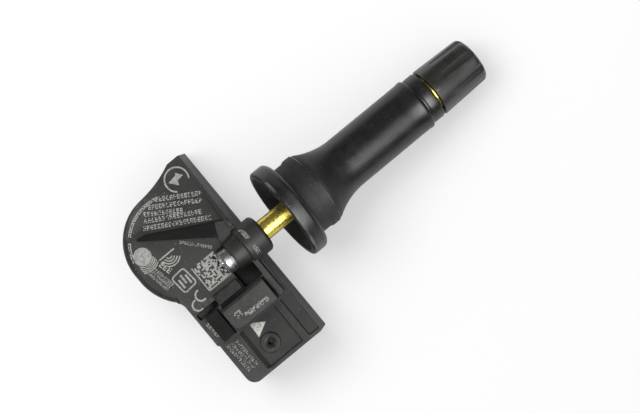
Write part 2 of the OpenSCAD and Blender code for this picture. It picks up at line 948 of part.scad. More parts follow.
// Bulb that snaps through the rim hole, from the neck to the hollow taper
module bulb_section() {
    polygon([
        [0, rim_seat_s + neck_len],
        [neck_r, rim_seat_s + neck_len],
        [bulb_r, rim_seat_s + neck_len + 0.5],
        [bulb_r, shoulder_s - 0.3],
        [bulb_r - 0.3, shoulder_s],
        [bulb_r - 0.3, taper_end_s],
        [0, taper_end_s]
    ]);
}

// Circle that hollows the rubber from the shoulder down to the shank
module taper_cut() {
    difference() {
        translate([shank_rubber_r, shoulder_s])
            square([bulb_r, taper_end_s - shoulder_s]);
        taper_fill();
    }
}

module taper_fill() {
    difference() {
        translate([0, shoulder_s])
            square([bulb_r, taper_end_s - shoulder_s]);
        translate([shank_rubber_r + taper_r, taper_end_s])
            circle(r = taper_r, $fn = 240);
    }
}

// Shallow dish in the flange's inner face, with a flat lip around it
module dish_cut() {
    dish_r = flange_r - lip_edge_r - lip_w;
    polygon([
        [0, flange_s - 1],
        [dish_r, flange_s - 1],
        [dish_r, flange_s],
        [foot_r + 1.2, grip_s],
        [0, grip_s]
    ]);
}

module rubber_stem() {
    color([0.09, 0.09, 0.09])
        in_stem_frame()
            rotate_extrude()
                rubber_profile();
}

// Pan head with a six-lobed recess, and the shank that pulls the stem home
module retaining_screw() {
    color([0.8, 0.8, 0.82])
        in_stem_frame()
            difference() {
                rotate_extrude()
                    screw_profile();
                translate([0, 0, -head_h - over])
                    six_lobes(lobe_depth + over);
            }
}

module screw_profile() {
    edge = 0.5;
    union() {
        translate([0, -head_h + edge])
            square([head_r, head_h - edge]);
        translate([0, -head_h])
            square([head_r - edge, head_h]);
        translate([head_r - edge, -head_h + edge])
            circle(r = edge, $fn = 32);
        polygon([
            [0, -1],
            [shank_r, -1],
            [shank_r, shank_len - 0.5],
            [shank_r - 0.4, shank_len],
            [0, shank_len]
        ]);
    }
}

module six_lobes(depth) {
    linear_extrude(depth)
        union() {
            circle(r = 1.05);
            for (i = [0 : 5])
                rotate(60 * i)
                    translate([1.05, 0])
                        circle(r = 0.32, $fn = 24);
        }
}

// Screwed barrel with a slimmer tail, a bore for the pin and a wider one for the spring
module core_barrel() {
    color([0.75, 0.6, 0.3])
        in_stem_frame()
            difference() {
                rotate_extrude()
                    polygon([
                        [0, tail_s],
                        [tail_r, tail_s],
                        [tail_r, core_foot_s],
                        [barrel_r, core_foot_s + 0.4],
                        [barrel_r, core_top_s],
                        [0, core_top_s]
                    ]);
                bar(tail_s - over, pin_hole_r, core_top_s - tail_s + 2 * over);
                bar(tail_s - over, cup_r - 0.3, 2 * over);
                bar(spring_s, spring_bore_r, barrel_len);
            }
}

// Gasket ring around the barrel's tail
module core_seal() {
    color([0.6, 0.12, 0.1])
        in_stem_frame()
            difference() {
                bar(tail_s + (tail_len - seal_len) / 2, chamber_r - fit_gap, seal_len);
                bar(tail_s, tail_r, tail_len);
            }
}

module core_pin() {
    color([0.8, 0.65, 0.35])
        in_stem_frame() {
            bar(cup_s, pin_r, pin_tip_s - cup_s);
            bar(pin_collar_s, spring_bore_r - 0.1, pin_collar_t);
        }
}

module core_cup() {
    color([0.7, 0.55, 0.3])
        in_stem_frame()
            difference() {
                bar(cup_s, cup_r, cup_len);
                bar(cup_s - over, pin_r, cup_len + 2 * over);
            }
}

// Corners of the wire's section, after a number of turns along the coil
function wire_ring(turn, radius, pitch, sides) = [
    for (k = [0 : sides - 1])
        let (a = 360 * k / sides, out = radius + wire_r * cos(a))
            [out * cos(360 * turn), out * sin(360 * turn), turn * pitch + wire_r * sin(a)]
];

// Coiled spring between the barrel's bridge and the pin's collar
module core_spring() {
    sides = 6;
    steps_per_turn = 12;
    steps = steps_per_turn * spring_turns;
    radius = spring_bore_r - 0.15 - wire_r;
    run = pin_collar_s - spring_s - 2 * (wire_r + spring_gap);
    pitch = run / spring_turns;
    points = [for (i = [0 : steps]) each wire_ring(i / steps_per_turn, radius, pitch, sides)];
    tube = [for (i = [0 : steps - 1], k = [0 : sides - 1])
        let (a = i * sides + k, b = i * sides + (k + 1) % sides)
            [a, a + sides, b + sides, b]];
    first = [for (k = [0 : sides - 1]) k];
    last = [for (k = [sides - 1 : -1 : 0]) steps * sides + k];
    color([0.75, 0.75, 0.78])
        in_stem_frame()
            translate([0, 0, spring_s + wire_r + spring_gap])
                polyhedron(points, concat([first], tube, [last]));
}

// Cap wall: straight skirt, slight taper and rounded tip
module cap_profile() {
    edge = cap_edge_r;
    difference() {
        union() {
            polygon([
                [0, cap_mouth_s],
                [cap_r - 0.2, cap_mouth_s],
                [cap_r, cap_mouth_s + 0.2],
                [cap_tip_r, cap_tip_s - edge],
                [0, cap_tip_s - edge]
            ]);
            translate([cap_tip_r - edge, cap_tip_s - edge])
                circle(r = edge, $fn = 48);
            translate([0, cap_tip_s - 2 * edge])
                square([cap_tip_r - edge, 2 * edge]);
        }
        translate([-1, cap_mouth_s - 1])
            square([cap_bore_r + 1, cap_tip_s - cap_end_t - cap_mouth_s + 1]);
        translate([-1, cap_mouth_s - 1])
            square([cap_bore_r + 1.25, 1.4]);
    }
}

module cap_shell() {
    flute_r = (pow(flute_w / 2, 2) + pow(flute_depth, 2)) / (2 * flute_depth);
    flute_tilt = cap_taper + atan((flute_depth - flute_start_depth) / (flute_len - cap_edge_r));
    color([0.16, 0.165, 0.15])
        in_stem_frame()
            difference() {
                rotate_extrude()
                    cap_profile();
                for (i = [0 : flutes - 1])
                    rotate([0, 0, 360 * i / flutes + flute_turn])
                        translate([cap_tip_r - flute_depth + flute_r, 0, cap_tip_s - cap_edge_r])
                            rotate([0, -flute_tilt, 0])
                                bar(cap_edge_r - flute_len, flute_r, flute_len + over, $fn = 48);
            }
}

module cap_gasket() {
    color([0.45, 0.1, 0.1])
        in_stem_frame()
            difference() {
                bar(nose_s, thread_r, cap_gasket_t);
                bar(nose_s - over, pin_r + 0.7, over + pin_dish);
            }
}

housing();
base_cover();
circuit_board();
battery_cell();
battery_tab_top();
battery_tab_bottom();
sensor_chip();
port_gasket();
port_membrane();
loop_antenna();
coil_core();
coil_winding();
crystal_can();
board_capacitors();
stem_tube();
rubber_stem();
retaining_screw();
core_barrel();
core_seal();
core_pin();
core_cup();
core_spring();
cap_shell();
cap_gasket();
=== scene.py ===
import json
import math
import random

import bpy
from bpy.props import FloatProperty, FloatVectorProperty, IntProperty, PointerProperty
from mathutils import Matrix, Vector
from mathutils.bvhtree import BVHTree


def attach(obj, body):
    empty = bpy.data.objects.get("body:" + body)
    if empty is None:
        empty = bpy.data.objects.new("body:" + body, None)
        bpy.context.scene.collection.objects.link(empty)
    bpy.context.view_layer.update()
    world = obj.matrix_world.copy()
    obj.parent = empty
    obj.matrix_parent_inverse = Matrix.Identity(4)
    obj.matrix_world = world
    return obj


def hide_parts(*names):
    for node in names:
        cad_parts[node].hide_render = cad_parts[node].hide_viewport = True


bl_info = {
    "name": "Tyre pressure sensor dressing",
    "version": (1, 0, 0),
    "blender": (4, 5, 0),
    "location": "View3D > Sidebar > Sensor",
    "description": "Dresses the solids of a snap-in tyre pressure sensor with detail and finishes",
    "category": "Object",
}

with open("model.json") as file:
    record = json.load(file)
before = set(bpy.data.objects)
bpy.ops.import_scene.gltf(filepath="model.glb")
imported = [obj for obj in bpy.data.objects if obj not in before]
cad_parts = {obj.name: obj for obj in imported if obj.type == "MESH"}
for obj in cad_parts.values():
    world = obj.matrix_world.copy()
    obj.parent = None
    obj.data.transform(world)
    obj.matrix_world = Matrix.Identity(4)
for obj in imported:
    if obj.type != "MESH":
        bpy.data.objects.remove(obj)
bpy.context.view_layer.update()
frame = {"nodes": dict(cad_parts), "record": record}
MM = 0.001

# Points nearer than this are one point, and faces flatter than this are one face
WELD = 0.002 * MM
FLAT = math.radians(0.6)
SHARP = math.radians(32)
CAP_EDGE = 0.00006
SCREW_EDGE = 0.00008
GRAIN_DEPTH = 0.000004


# Places on the sensor

def mount(name):
    """A mounting place of the record, as its position and axis."""
    for place in frame["record"]["mounts"]:
        if place["name"] == name:
            return Vector(place["pos_m"]), Vector(place["axis"])
    raise RuntimeError(f"the record has no mount {name}")


# Distance along the stem from the screw's seat to the rim hole's middle
RIM_HOLE_S = 17.05 * MM
HOUSING_DROP = math.radians(5)

rim_hole, STEM_AXIS = mount("rim_hole")
SEAT = rim_hole - STEM_AXIS * RIM_HOLE_S
STEM_DIP = math.asin(-STEM_AXIS.z)
STEM = Matrix.Translation(SEAT) @ Matrix.Rotation(math.pi / 2 + STEM_DIP, 4, "Y")
HOUSING = Matrix.Translation(SEAT) @ Matrix.Rotation(-HOUSING_DROP, 4, "Y")
PANEL_Z = -0.9
RIB_TIP = (-12.4, 13.8)
RIB_TURN = math.radians(-26.03)
WING_SLOPE = math.radians(6)
COLLAR_R = 3.815
CLIP_RISE = 3.0
RECESS_DEPTH = 0.6
BULGE_CENTRE = (-6.1, 8.6)
WING = (
    HOUSING
    @ Matrix.Translation((RIB_TIP[0] * MM, RIB_TIP[1] * MM, PANEL_Z * MM))
    @ Matrix.Rotation(RIB_TURN, 4, "Z")
    @ Matrix.Rotation(-WING_SLOPE, 4, "X")
)


def panel_at(height):
    """The housing's frame, moved up to a height in mm above the panel."""
    return HOUSING @ Matrix.Translation((0, 0, (PANEL_Z + height) * MM))


def on_collar(angle, along):
    """A place on the collar that holds the stem, by angle from its top in degrees."""
    return (STEM @ Matrix.Translation((0, 0, along * MM))
            @ Matrix.Rotation(math.pi - math.radians(angle), 4, "Z")
            @ Matrix.Translation((COLLAR_R * MM, 0, 0)) @ Matrix.Rotation(math.pi / 2, 4, "Y"))


def on_wing(x, y):
    """A plan place of the housing in mm, as a place on the sloping wing."""
    place = Matrix.Rotation(-RIB_TURN, 2) @ Vector((x - RIB_TIP[0], y - RIB_TIP[1]))
    return Vector((place.x, place.y / math.cos(WING_SLOPE)))


# Handling of objects

def deselect():
    if bpy.context.object and bpy.context.object.mode != "OBJECT":
        bpy.ops.object.mode_set(mode="OBJECT")
    bpy.ops.object.select_all(action="DESELECT")


def take(piece):
    """Makes one object the only selected and active one."""
    deselect()
    piece.select_set(True)
    bpy.context.view_layer.objects.active = piece


def edit(piece, action="SELECT"):
    take(piece)
    bpy.ops.object.mode_set(mode="EDIT")
    bpy.ops.mesh.select_all(action=action)


def settle(piece, matrix):
    """Moves a piece modelled at the origin to its place and puts the place into its mesh."""
    take(piece)
    piece.matrix_world = matrix
    bpy.ops.object.transform_apply(location=True, rotation=True, scale=True)


def apply_modifiers(piece):
    take(piece)
    for modifier in list(piece.modifiers):
        bpy.ops.object.modifier_apply(modifier=modifier.name)


def join(name, parts):
    deselect()
    for part in parts:
        part.select_set(True)
    bpy.context.view_layer.objects.active = parts[0]
    if len(parts) > 1:
        bpy.ops.object.join()
    parts[0].name = name
    parts[0].data.name = name
    return parts[0]


def smooth(piece, angle=35):
    take(piece)
    bpy.ops.object.shade_smooth_by_angle(angle=math.radians(angle))


def even_normals(piece):
    """Keeps flat faces flat beside small rounded edges."""
    modifier = piece.modifiers.new("even normals", "WEIGHTED_NORMAL")
    modifier.keep_sharp = True
    modifier.weight = 80
    apply_modifiers(piece)


def cover(piece, material):
    piece.data.materials.clear()
    piece.data.materials.append(material)


def dress(node, material):
    """Gives a solid of the frame its finish."""
    cover(frame["nodes"][node], material)


def stand_for(piece, node, body, material):
    """Shows a piece in place of a solid of the frame."""
    cover(piece, material)
    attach(piece, body)
    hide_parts(node)


# Modelling

def turned(name, stations, segments):
    """Extrudes a ring through stations of radius and height in mm, about the Z axis."""
    deselect()
    radius, height = stations[0]
    bpy.ops.mesh.primitive_circle_add(
        vertices=segments, radius=radius * MM, fill_type="NOTHING", location=(0, 0, 0))
    piece = bpy.context.object
    piece.name = name
    edit(piece)
    bpy.ops.transform.translate(value=(0, 0, height * MM))
    for next_radius, next_height in stations[1:]:
        bpy.ops.mesh.extrude_region_move(
            TRANSFORM_OT_translate={"value": (0, 0, (next_height - height) * MM)})
        scale = next_radius / radius
        bpy.ops.transform.resize(
            value=(scale, scale, 1), center_override=(0, 0, next_height * MM))
        radius, height = next_radius, next_height
    bpy.ops.mesh.select_all(action="SELECT")
    bpy.ops.mesh.remove_doubles(threshold=WELD)
    bpy.ops.mesh.normals_make_consistent(inside=False)
    bpy.ops.object.mode_set(mode="OBJECT")
    return piece


def corner(radius, height, size, start, end, steps=5):
    """Stations of a rounded corner, as an arc about (radius, height), in degrees."""
    turn = [math.radians(start + (end - start) * i / steps) for i in range(steps + 1)]
    return [(radius + size * math.cos(a), height + size * math.sin(a)) for a in turn]


def choose_edges(piece, keep):
    """Keeps only those selected edges whose ends pass a test."""
    bpy.ops.object.mode_set(mode="OBJECT")
    mesh = piece.data
    for edge in mesh.edges:
        if edge.select:
            edge.select = keep(*[mesh.vertices[i].co for i in edge.vertices])
    bpy.ops.object.mode_set(mode="EDIT")


def choose_faces(piece, merge):
    """Selects only those faces whose corners all pass a test."""
    bpy.ops.object.mode_set(mode="OBJECT")
    mesh = piece.data
    for face in mesh.polygons:
        corners = [mesh.vertices[i].co for i in face.vertices]
        face.select = all(merge(place) for place in corners)
    bpy.ops.object.mode_set(mode="EDIT")


def softened(node, name, width, keep=None, merge=None):
    """Copies a solid of the frame, merges its triangles and rounds its sharp edges."""
    source = frame["nodes"][node]
    deselect()
    piece = source.copy()
    piece.data = source.data.copy()
    piece.parent = None
    for key in list(piece.keys()):
        del piece[key]
    piece.name = name
    piece.data.name = name
    bpy.context.scene.collection.objects.link(piece)
    edit(piece)
    bpy.ops.mesh.remove_doubles(threshold=WELD)
    if merge:
        bpy.ops.mesh.select_mode(type="FACE")
        choose_faces(piece, merge)
    bpy.ops.mesh.dissolve_limited(angle_limit=FLAT)
    bpy.ops.mesh.select_mode(type="EDGE")
    bpy.ops.mesh.select_all(action="DESELECT")
    bpy.ops.mesh.edges_select_sharp(sharpness=SHARP)
    if keep:
        choose_edges(piece, keep)
    bpy.ops.mesh.bevel(offset=width, segments=2, profile=0.5, affect="EDGES",
                       clamp_overlap=False, miter_outer="ARC", loop_slide=True)
    bpy.ops.mesh.select_mode(type="VERT")
    bpy.ops.object.mode_set(mode="OBJECT")
    pull_back(piece, source, width)
    return piece


def pull_back(piece, source, reach):
    """Moves points that the rounding threw clear of the solid back onto it."""
    surface = BVHTree.FromObject(source, bpy.context.evaluated_depsgraph_get())
    for vertex in piece.data.vertices:
        place, _, _, distance = surface.find_nearest(vertex.co)
        if distance > reach:
            vertex.co = place


# Finishes

class Wiring:
    """A node tree being filled, node by node."""

    def __init__(self, tree):
        self.tree = tree
        self.count = 0

    def add(self, kind, inputs=None, **settings):
        made = self.tree.nodes.new(kind)
        made.location = (180 * self.count, 0)
        self.count += 1
        for key, value in settings.items():
            setattr(made, key, value)
        for key, value in (inputs or {}).items():
            if isinstance(value, bpy.types.NodeSocket):
                self.tree.links.new(value, made.inputs[key])
            else:
                made.inputs[key].default_value = value
        return made

    def noise(self, position, scale, detail=2.0, roughness=0.5):
        made = self.add("ShaderNodeTexNoise", {
            "Vector": position, "Scale": scale, "Detail": detail, "Roughness": roughness})
        return made.outputs["Fac"]

    def spread(self, value, low, high, to_low=0.0, to_high=1.0):
        made = self.add("ShaderNodeMapRange", {
            "Value": value, "From Min": low, "From Max": high,
            "To Min": to_low, "To Max": to_high})
        return made.outputs["Result"]

    def maths(self, operation, first, second=0.5):
        made = self.add("ShaderNodeMath", {0: first, 1: second}, operation=operation)
        return made.outputs[0]

    def blend(self, factor, first, second):
        made = self.add("ShaderNodeMix", data_type="RGBA")
        for socket, value in ((0, factor), (6, first), (7, second)):
            if isinstance(value, bpy.types.NodeSocket):
                self.tree.links.new(value, made.inputs[socket])
            else:
                made.inputs[socket].default_value = value
        return made.outputs[2]

    def stretched(self, position, scale):
        made = self.add("ShaderNodeVectorMath", {0: position, 1: scale}, operation="MULTIPLY")
        return made.outputs[0]

    def bump(self, height, distance, normal=None):
        inputs = {"Height": height, "Distance": distance, "Strength": 1.0}
        if normal:
            inputs["Normal"] = normal
        return self.add("ShaderNodeBump", inputs).outputs["Normal"]

    def in_box(self, position, centre, half, turn=0.0):
        """One inside a box in millimetres, turned about Z, and zero outside."""
        near = self.add("ShaderNodeMapping", {
            "Vector": position, "Location": Vector(centre) * MM,
            "Rotation": (0, 0, math.radians(turn)), "Scale": Vector(half) * MM},
            vector_type="TEXTURE").outputs[0]
        near = self.add("ShaderNodeVectorMath", {0: near}, operation="ABSOLUTE").outputs[0]
        x, y, z = self.add("ShaderNodeSeparateXYZ", {0: near}).outputs
        far = self.maths("MAXIMUM", self.maths("MAXIMUM", x, y), z)
        return self.maths("LESS_THAN", far, 1.0)

    def lean(self, normal, mask, way):
        """Leans a normal toward way where the mask is one."""
        push = self.add("ShaderNodeVectorMath", {0: way, "Scale": mask}, operation="SCALE")
        both = self.add("ShaderNodeVectorMath", {0: normal, 1: push.outputs[0]}, operation="ADD")
        return self.add("ShaderNodeVectorMath", {0: both.outputs[0]},
                        operation="NORMALIZE").outputs[0]


def opaque(colour):
    return (colour[0], colour[1], colour[2], 1.0)


def effect(name, inputs, outputs):
    """An empty shader node group with named sockets."""
    tree = bpy.data.node_groups.new(name, "ShaderNodeTree")
    for label, kind, default in inputs:
        socket = tree.interface.new_socket(name=label, in_out="INPUT", socket_type=kind)
        if default is not None:
            socket.default_value = default
    for label, kind in outputs:
        tree.interface.new_socket(name=label, in_out="OUTPUT", socket_type=kind)
    wiring = Wiring(tree)
    return tree, wiring, wiring.add("NodeGroupInput").outputs, wiring.add("NodeGroupOutput").inputs


COLOUR, NUMBER, PLACE = "NodeSocketColor", "NodeSocketFloat", "NodeSocketVector"


def grain_effect():
    """Fine grain of a moulding: a height, and a value that makes patches duller."""
    tree, w, given, out = effect("moulded grain", [
        ("Position", PLACE, None), ("Scale", NUMBER, 4000.0), ("Patch Scale", NUMBER, 160.0),
    ], [("Height", NUMBER), ("Patches", NUMBER)])
    fine = w.noise(given["Position"], given["Scale"], 3.0, 0.6)
    patches = w.noise(given["Position"], given["Patch Scale"], 4.0, 0.6)
    tree.links.new(fine, out["Height"])
    tree.links.new(w.spread(patches, 0.3, 0.7), out["Patches"])
    return tree


def dust_effect():
    """Dust that settles on faces that look up, thicker in patches and specks."""
    tree, w, given, out = effect("settled dust", [
        ("Position", PLACE, None), ("Colour", COLOUR, (0.02, 0.02, 0.02, 1)),
        ("Dust", COLOUR, (0.3, 0.3, 0.28, 1)), ("Amount", NUMBER, 0.1),
        ("Scale", NUMBER, 250.0), ("Specks", NUMBER, 0.3),
    ], [("Colour", COLOUR), ("Mask", NUMBER)])
    facing = w.add("ShaderNodeNewGeometry").outputs["Normal"]
    up = w.add("ShaderNodeSeparateXYZ", {0: facing}).outputs["Z"]
    up = w.spread(up, -0.2, 0.9)
    cloud = w.spread(w.noise(given["Position"], given["Scale"], 5.0, 0.65), 0.38, 0.72)
    fine = w.maths("MULTIPLY", given["Scale"], 14.0)
    speck = w.spread(w.noise(given["Position"], fine, 1.0, 0.4), 0.71, 0.78)
    speck = w.maths("MULTIPLY", speck, given["Specks"])
    film = w.maths("MULTIPLY", w.maths("MULTIPLY", cloud, up), given["Amount"])
    mask = w.maths("MAXIMUM", film, w.maths("MULTIPLY", speck, up))
    tree.links.new(w.blend(mask, given["Colour"], given["Dust"]), out["Colour"])
    tree.links.new(mask, out["Mask"])
    return tree


def wear_effect():
    """Rubbed edges, from how much the surface points out."""
    tree, w, given, out = effect("rubbed edges", [
        ("Position", PLACE, None), ("Colour", COLOUR, (0.02, 0.02, 0.02, 1)),
        ("Rubbed", COLOUR, (0.2, 0.2, 0.2, 1)), ("Amount", NUMBER, 0.4),
    ], [("Colour", COLOUR)])
    point = w.add("ShaderNodeNewGeometry").outputs["Pointiness"]
    edge = w.spread(point, 0.52, 0.62)
    broken = w.spread(w.noise(given["Position"], 900.0, 4.0, 0.7), 0.35, 0.65)
    mask = w.maths("MULTIPLY", w.maths("MULTIPLY", edge, broken), given["Amount"])
    tree.links.new(w.blend(mask, given["Colour"], given["Rubbed"]), out["Colour"])
    return tree


def scuff_effect():
    """Thin scuffs drawn out along one axis."""
    tree, w, given, out = effect("scuffs", [
        ("Position", PLACE, None), ("Amount", NUMBER, 0.5),
    ], [("Mask", NUMBER)])
    long_way = w.stretched(given["Position"], (2600.0, 2600.0, 120.0))
    lines = w.spread(w.noise(long_way, 1.0, 2.0, 0.5), 0.62, 0.72)
    parts = w.spread(w.noise(given["Position"], 320.0, 2.0, 0.5), 0.48, 0.62)
    mask = w.maths("MULTIPLY", w.maths("MULTIPLY", lines, parts), given["Amount"])
    tree.links.new(mask, out["Mask"])
    return tree


def turning_effect():
    """Fine rings that a lathe leaves round the Z axis, with specks of brighter metal."""
    tree, w, given, out = effect("turning marks", [
        ("Position", PLACE, None), ("Speck Scale", NUMBER, 2600.0),
    ], [("Height", NUMBER), ("Specks", NUMBER)])
    rings = w.noise(w.stretched(given["Position"], (60.0, 60.0, 5200.0)), 1.0, 2.0, 0.6)
    specks = w.noise(given["Position"], given["Speck Scale"], 2.0, 0.6)
    tree.links.new(rings, out["Height"])
    tree.links.new(w.spread(specks, 0.45, 0.65), out["Specks"])
    return tree


EFFECTS = {}


def make_effects():
    for name, maker in (("grain", grain_effect), ("dust", dust_effect), ("wear", wear_effect),
                        ("scuffs", scuff_effect), ("turning", turning_effect)):
        EFFECTS[name] = maker()


def use(w, name, inputs):
    """Places an effect group in a material, with its own values."""
    made = w.add("ShaderNodeGroup", node_tree=EFFECTS[name])
    for key, value in inputs.items():
        if isinstance(value, bpy.types.NodeSocket):
            w.tree.links.new(value, made.inputs[key])
        else:
            made.inputs[key].default_value = value
    return made.outputs


def new_finish(name, along_stem=False, in_housing=False):
    """A new material with its wiring and a position, in the stem's or housing's own frame."""
    made = bpy.data.materials.new(name)
    made.use_nodes = True
    made.node_tree.nodes.clear()
    w = Wiring(made.node_tree)
    position = w.add("ShaderNodeTexCoord").outputs["Object"]
    if along_stem or in_housing:
        turn = math.pi / 2 + STEM_DIP if along_stem else -HOUSING_DROP
        position = w.add("ShaderNodeMapping", {
            "Vector": position, "Location": SEAT, "Rotation": (0, turn, 0),
        }, vector_type="TEXTURE").outputs[0]
    return made, w, position


def shade(w, inputs):
    surface = w.add("ShaderNodeBsdfPrincipled", inputs)
    w.add("ShaderNodeOutputMaterial", {"Surface": surface.outputs[0]})


# Faces with a slight lean and painted shade: box centre, half sizes, turn, way they lean, painted
# shade
LEANING_SHADED = (
    # rib
    ((-5.99, 9.5, 0.35), (8.15, 1.95, 0.98), -26.03, (0.14, 0.3, 0.0), 0.85),
    # rear block
    ((-9.6, -8.6, 0.9), (1.5, 3.0, 0.4), 0.0, (0.05, 0.32, 0.0), 0.8),
    # low block
    ((-4.65, -4.6, 0.3), (2.85, 1.1, 0.3), 0.0, (0.03, 0.16, 0.0), 0.35),
    # recess
    ((-1.5, -15.5, -1.2), (6.0, 6.2, 1.2), 0.0, (0.0, 0.06, 0.0), 0.12),
    # pocket
    ((0.45, -4.15, -3.9), (2.3, 2.1, 0.4), 0.0, (0.05, 0.3, 0.0), 0.4),
)


def moulded_plastic(name, colour, roughness=0.45, dust=0.1, wear=0.3, along_stem=False,
                    specular=0.3, walls=0.1, leaning_shaded=()):
    """Black moulding with a fine grain, dust, rubbed edges, duller side walls, and painted shade in
    the boxes it is given.
    """
    made, w, position = new_finish(name, along_stem, not along_stem)
    facing = w.add("ShaderNodeNewGeometry").outputs["Normal"]
    up = w.add("ShaderNodeSeparateXYZ", {0: facing}).outputs["Z"]
    rubbed = w.maths("MULTIPLY", w.spread(up, 0.1, 0.4), wear) if walls else wear
    grain = use(w, "grain", {"Position": position, "Scale": 5200.0})
    worn = use(w, "wear", {"Position": position, "Colour": opaque(colour),
                           "Rubbed": (0.16, 0.16, 0.155, 1), "Amount": rubbed})
    dusty = use(w, "dust", {"Position": position, "Colour": worn["Colour"], "Amount": dust,
                            "Dust": (0.27, 0.27, 0.25, 1), "Scale": 190.0})
    rough = w.spread(grain["Patches"], 0.0, 1.0, roughness - 0.05, roughness + 0.07)
    rough = w.maths("ADD", rough, w.maths("MULTIPLY", dusty["Mask"], 0.5))
    rough = w.maths("ADD", rough, w.spread(up, 0.05, 0.35, walls, 0.0))
    tone = dusty["Colour"]
    # Painted shade: each box darkens the plastic toward a fifth of its colour, by the box's shade
    # value, where recesses and blocks lie in shade; the normals lean there as well
    for centre, half, turn, way, depth in leaning_shaded:
        inside = w.in_box(position, centre, half, turn)
        facing = w.lean(facing, inside, way)
        tone = w.blend(w.maths("MULTIPLY", inside, depth), tone, opaque([c * 0.2 for c in colour]))
    shade(w, {"Base Color": tone, "Roughness": rough, "Specular IOR Level": specular,
              "Normal": w.bump(grain["Height"], GRAIN_DEPTH, normal=facing)})
    return made


def laser_grey(name, colour):
    """Pale engraving, thinner in places so the plastic shows through."""
    made, w, position = new_finish(name, in_housing=True)
    patch = w.spread(w.noise(position, 2600.0, 3.0, 0.6), 0.3, 0.6)
    strong = w.in_box(position, (-4.7, -13.25, -1.7), (2.6, 2.6, 1.5))
    colour = w.blend(strong, opaque(colour), opaque([c * 1.9 for c in colour]))
    thin = w.blend(0.6, colour, (0.05, 0.05, 0.05, 1))
    tone = w.blend(patch, thin, colour)
    shade(w, {"Base Color": tone, "Roughness": 0.6, "Specular IOR Level": 0.2})
    return made


def valve_rubber(name, colour):
    """Black rubber: smooth on the shank, duller on bulb and flange, with dust and painted highlight
    lines on the edges of flange and bulb.
    """
    made, w, position = new_finish(name, along_stem=True)
    grain = use(w, "grain", {"Position": position, "Scale": 2600.0, "Patch Scale": 240.0})
    scuffs = use(w, "scuffs", {"Position": position, "Amount": 0.35})
    base = w.blend(scuffs["Mask"], opaque(colour), (0.09, 0.09, 0.09, 1))
    along = w.add("ShaderNodeSeparateXYZ", {0: position}).outputs["Z"]
    patch = w.spread(w.noise(position, 260.0, 3.0, 0.6), 0.42, 0.62)
    flat = w.add("ShaderNodeVectorMath", {0: position, 1: (1, 1, 0)}, operation="MULTIPLY")
    radius = w.add("ShaderNodeVectorMath", {0: flat.outputs[0]}, operation="LENGTH").outputs[1]
    # Painted highlights: lighter bands on the flange's lip and rim and on the bulb's edges, where
    # rounded edges catch the sheen lamp, broken up by noise
    for height, half, reach, tone in ((12.8, 0.35, 8.4, 0.12), (14.3, 1.1, 8.8, 0.02),
                                      (15.95, 0.12, 7, 0.09), (20.3, 0.14, 7, 0.13)):
        off = w.maths("ABSOLUTE", w.maths("SUBTRACT", along, height * MM))
        painted_highlight = w.maths("MULTIPLY", w.spread(off, half * MM * 0.4, half * MM, 1.0, 0.0), patch)
        painted_highlight = w.maths("MULTIPLY", painted_highlight, w.maths("GREATER_THAN", radius, reach * MM))
        base = w.blend(painted_highlight, base, (tone, tone, tone, 1))
    dusty = use(w, "dust", {"Position": position, "Colour": base, "Amount": 0.06,
                            "Dust": (0.17, 0.17, 0.16, 1), "Scale": 330.0, "Specks": 0.7})
    rough = w.spread(grain["Patches"], 0.0, 1.0, 0.28, 0.38)
    bulb = w.maths("MULTIPLY", w.spread(along, 15.7 * MM, 16.1 * MM),
                   w.spread(along, 19 * MM, 26 * MM, 0.32, 0.0))
    rough = w.maths("ADD", rough, bulb)
    dish = w.maths("MULTIPLY", w.spread(along, 14.6 * MM, 15 * MM, 1.0, 0.0),
                   w.spread(radius, 8.2 * MM, 8.6 * MM, 0.4, 0.05))
    rough = w.maths("ADD", rough, dish)
    rough = w.maths("ADD", rough, w.maths("MULTIPLY", dusty["Mask"], 0.4))
    lumps = w.noise(position, 420.0, 3.0, 0.55)
    height = w.maths("ADD", w.maths("MULTIPLY", lumps, 6.0), grain["Height"])
    shade(w, {"Base Color": dusty["Colour"], "Roughness": rough,
              "Specular IOR Level": 0.5, "Normal": w.bump(height, 0.000006)})
    return made


def turned_metal(name, colour, roughness, depth=GRAIN_DEPTH, edges=0.0):
    """Metal off a lathe, with fine rings, bright specks and painted shade at its grazing edges."""
    made, w, position = new_finish(name, along_stem=True)
    rings = use(w, "turning", {"Position": position})
    bright = w.maths("MULTIPLY", rings["Specks"], 0.2)
    tone = w.blend(bright, opaque(colour), opaque([min(1.0, c * 1.25) for c in colour]))
    # Painted shade: by the edges setting, the colour darkens where the surface turns away from the
    # view, and the edges also grow rougher
    edge = w.add("ShaderNodeLayerWeight", {"Blend": 0.5}).outputs["Facing"]
    dim = w.spread(edge, 0.3, 0.85, 0.0, edges)
    tone = w.blend(dim, tone, opaque([c * 0.15 for c in colour]))
    rough = w.spread(rings["Specks"], 0.0, 1.0, roughness + 0.12, roughness - 0.05)
    rough = w.maths("ADD", rough, w.spread(edge, 0.4, 0.8, 0.0, 0.5 * edges))
    shade(w, {"Base Color": tone, "Roughness": rough, "Metallic": 1.0,
              "Normal": w.bump(rings["Height"], depth)})
    return made


def sheet_metal(name, colour, roughness):
    """Rolled or drawn metal with faint lines."""
    made, w, position = new_finish(name, in_housing=True)
    lines = w.noise(w.stretched(position, (400.0, 6000.0, 400.0)), 1.0, 3.0, 0.6)
    stain = w.spread(w.noise(position, 260.0, 4.0, 0.6), 0.4, 0.7, 0.0, 0.35)
    tone = w.blend(stain, opaque(colour), opaque([c * 0.6 for c in colour]))
    rough = w.spread(lines, 0.3, 0.7, roughness - 0.05, roughness + 0.1)
    shade(w, {"Base Color": tone, "Roughness": rough, "Metallic": 1.0,
              "Normal": w.bump(lines, 0.000002)})
    return made


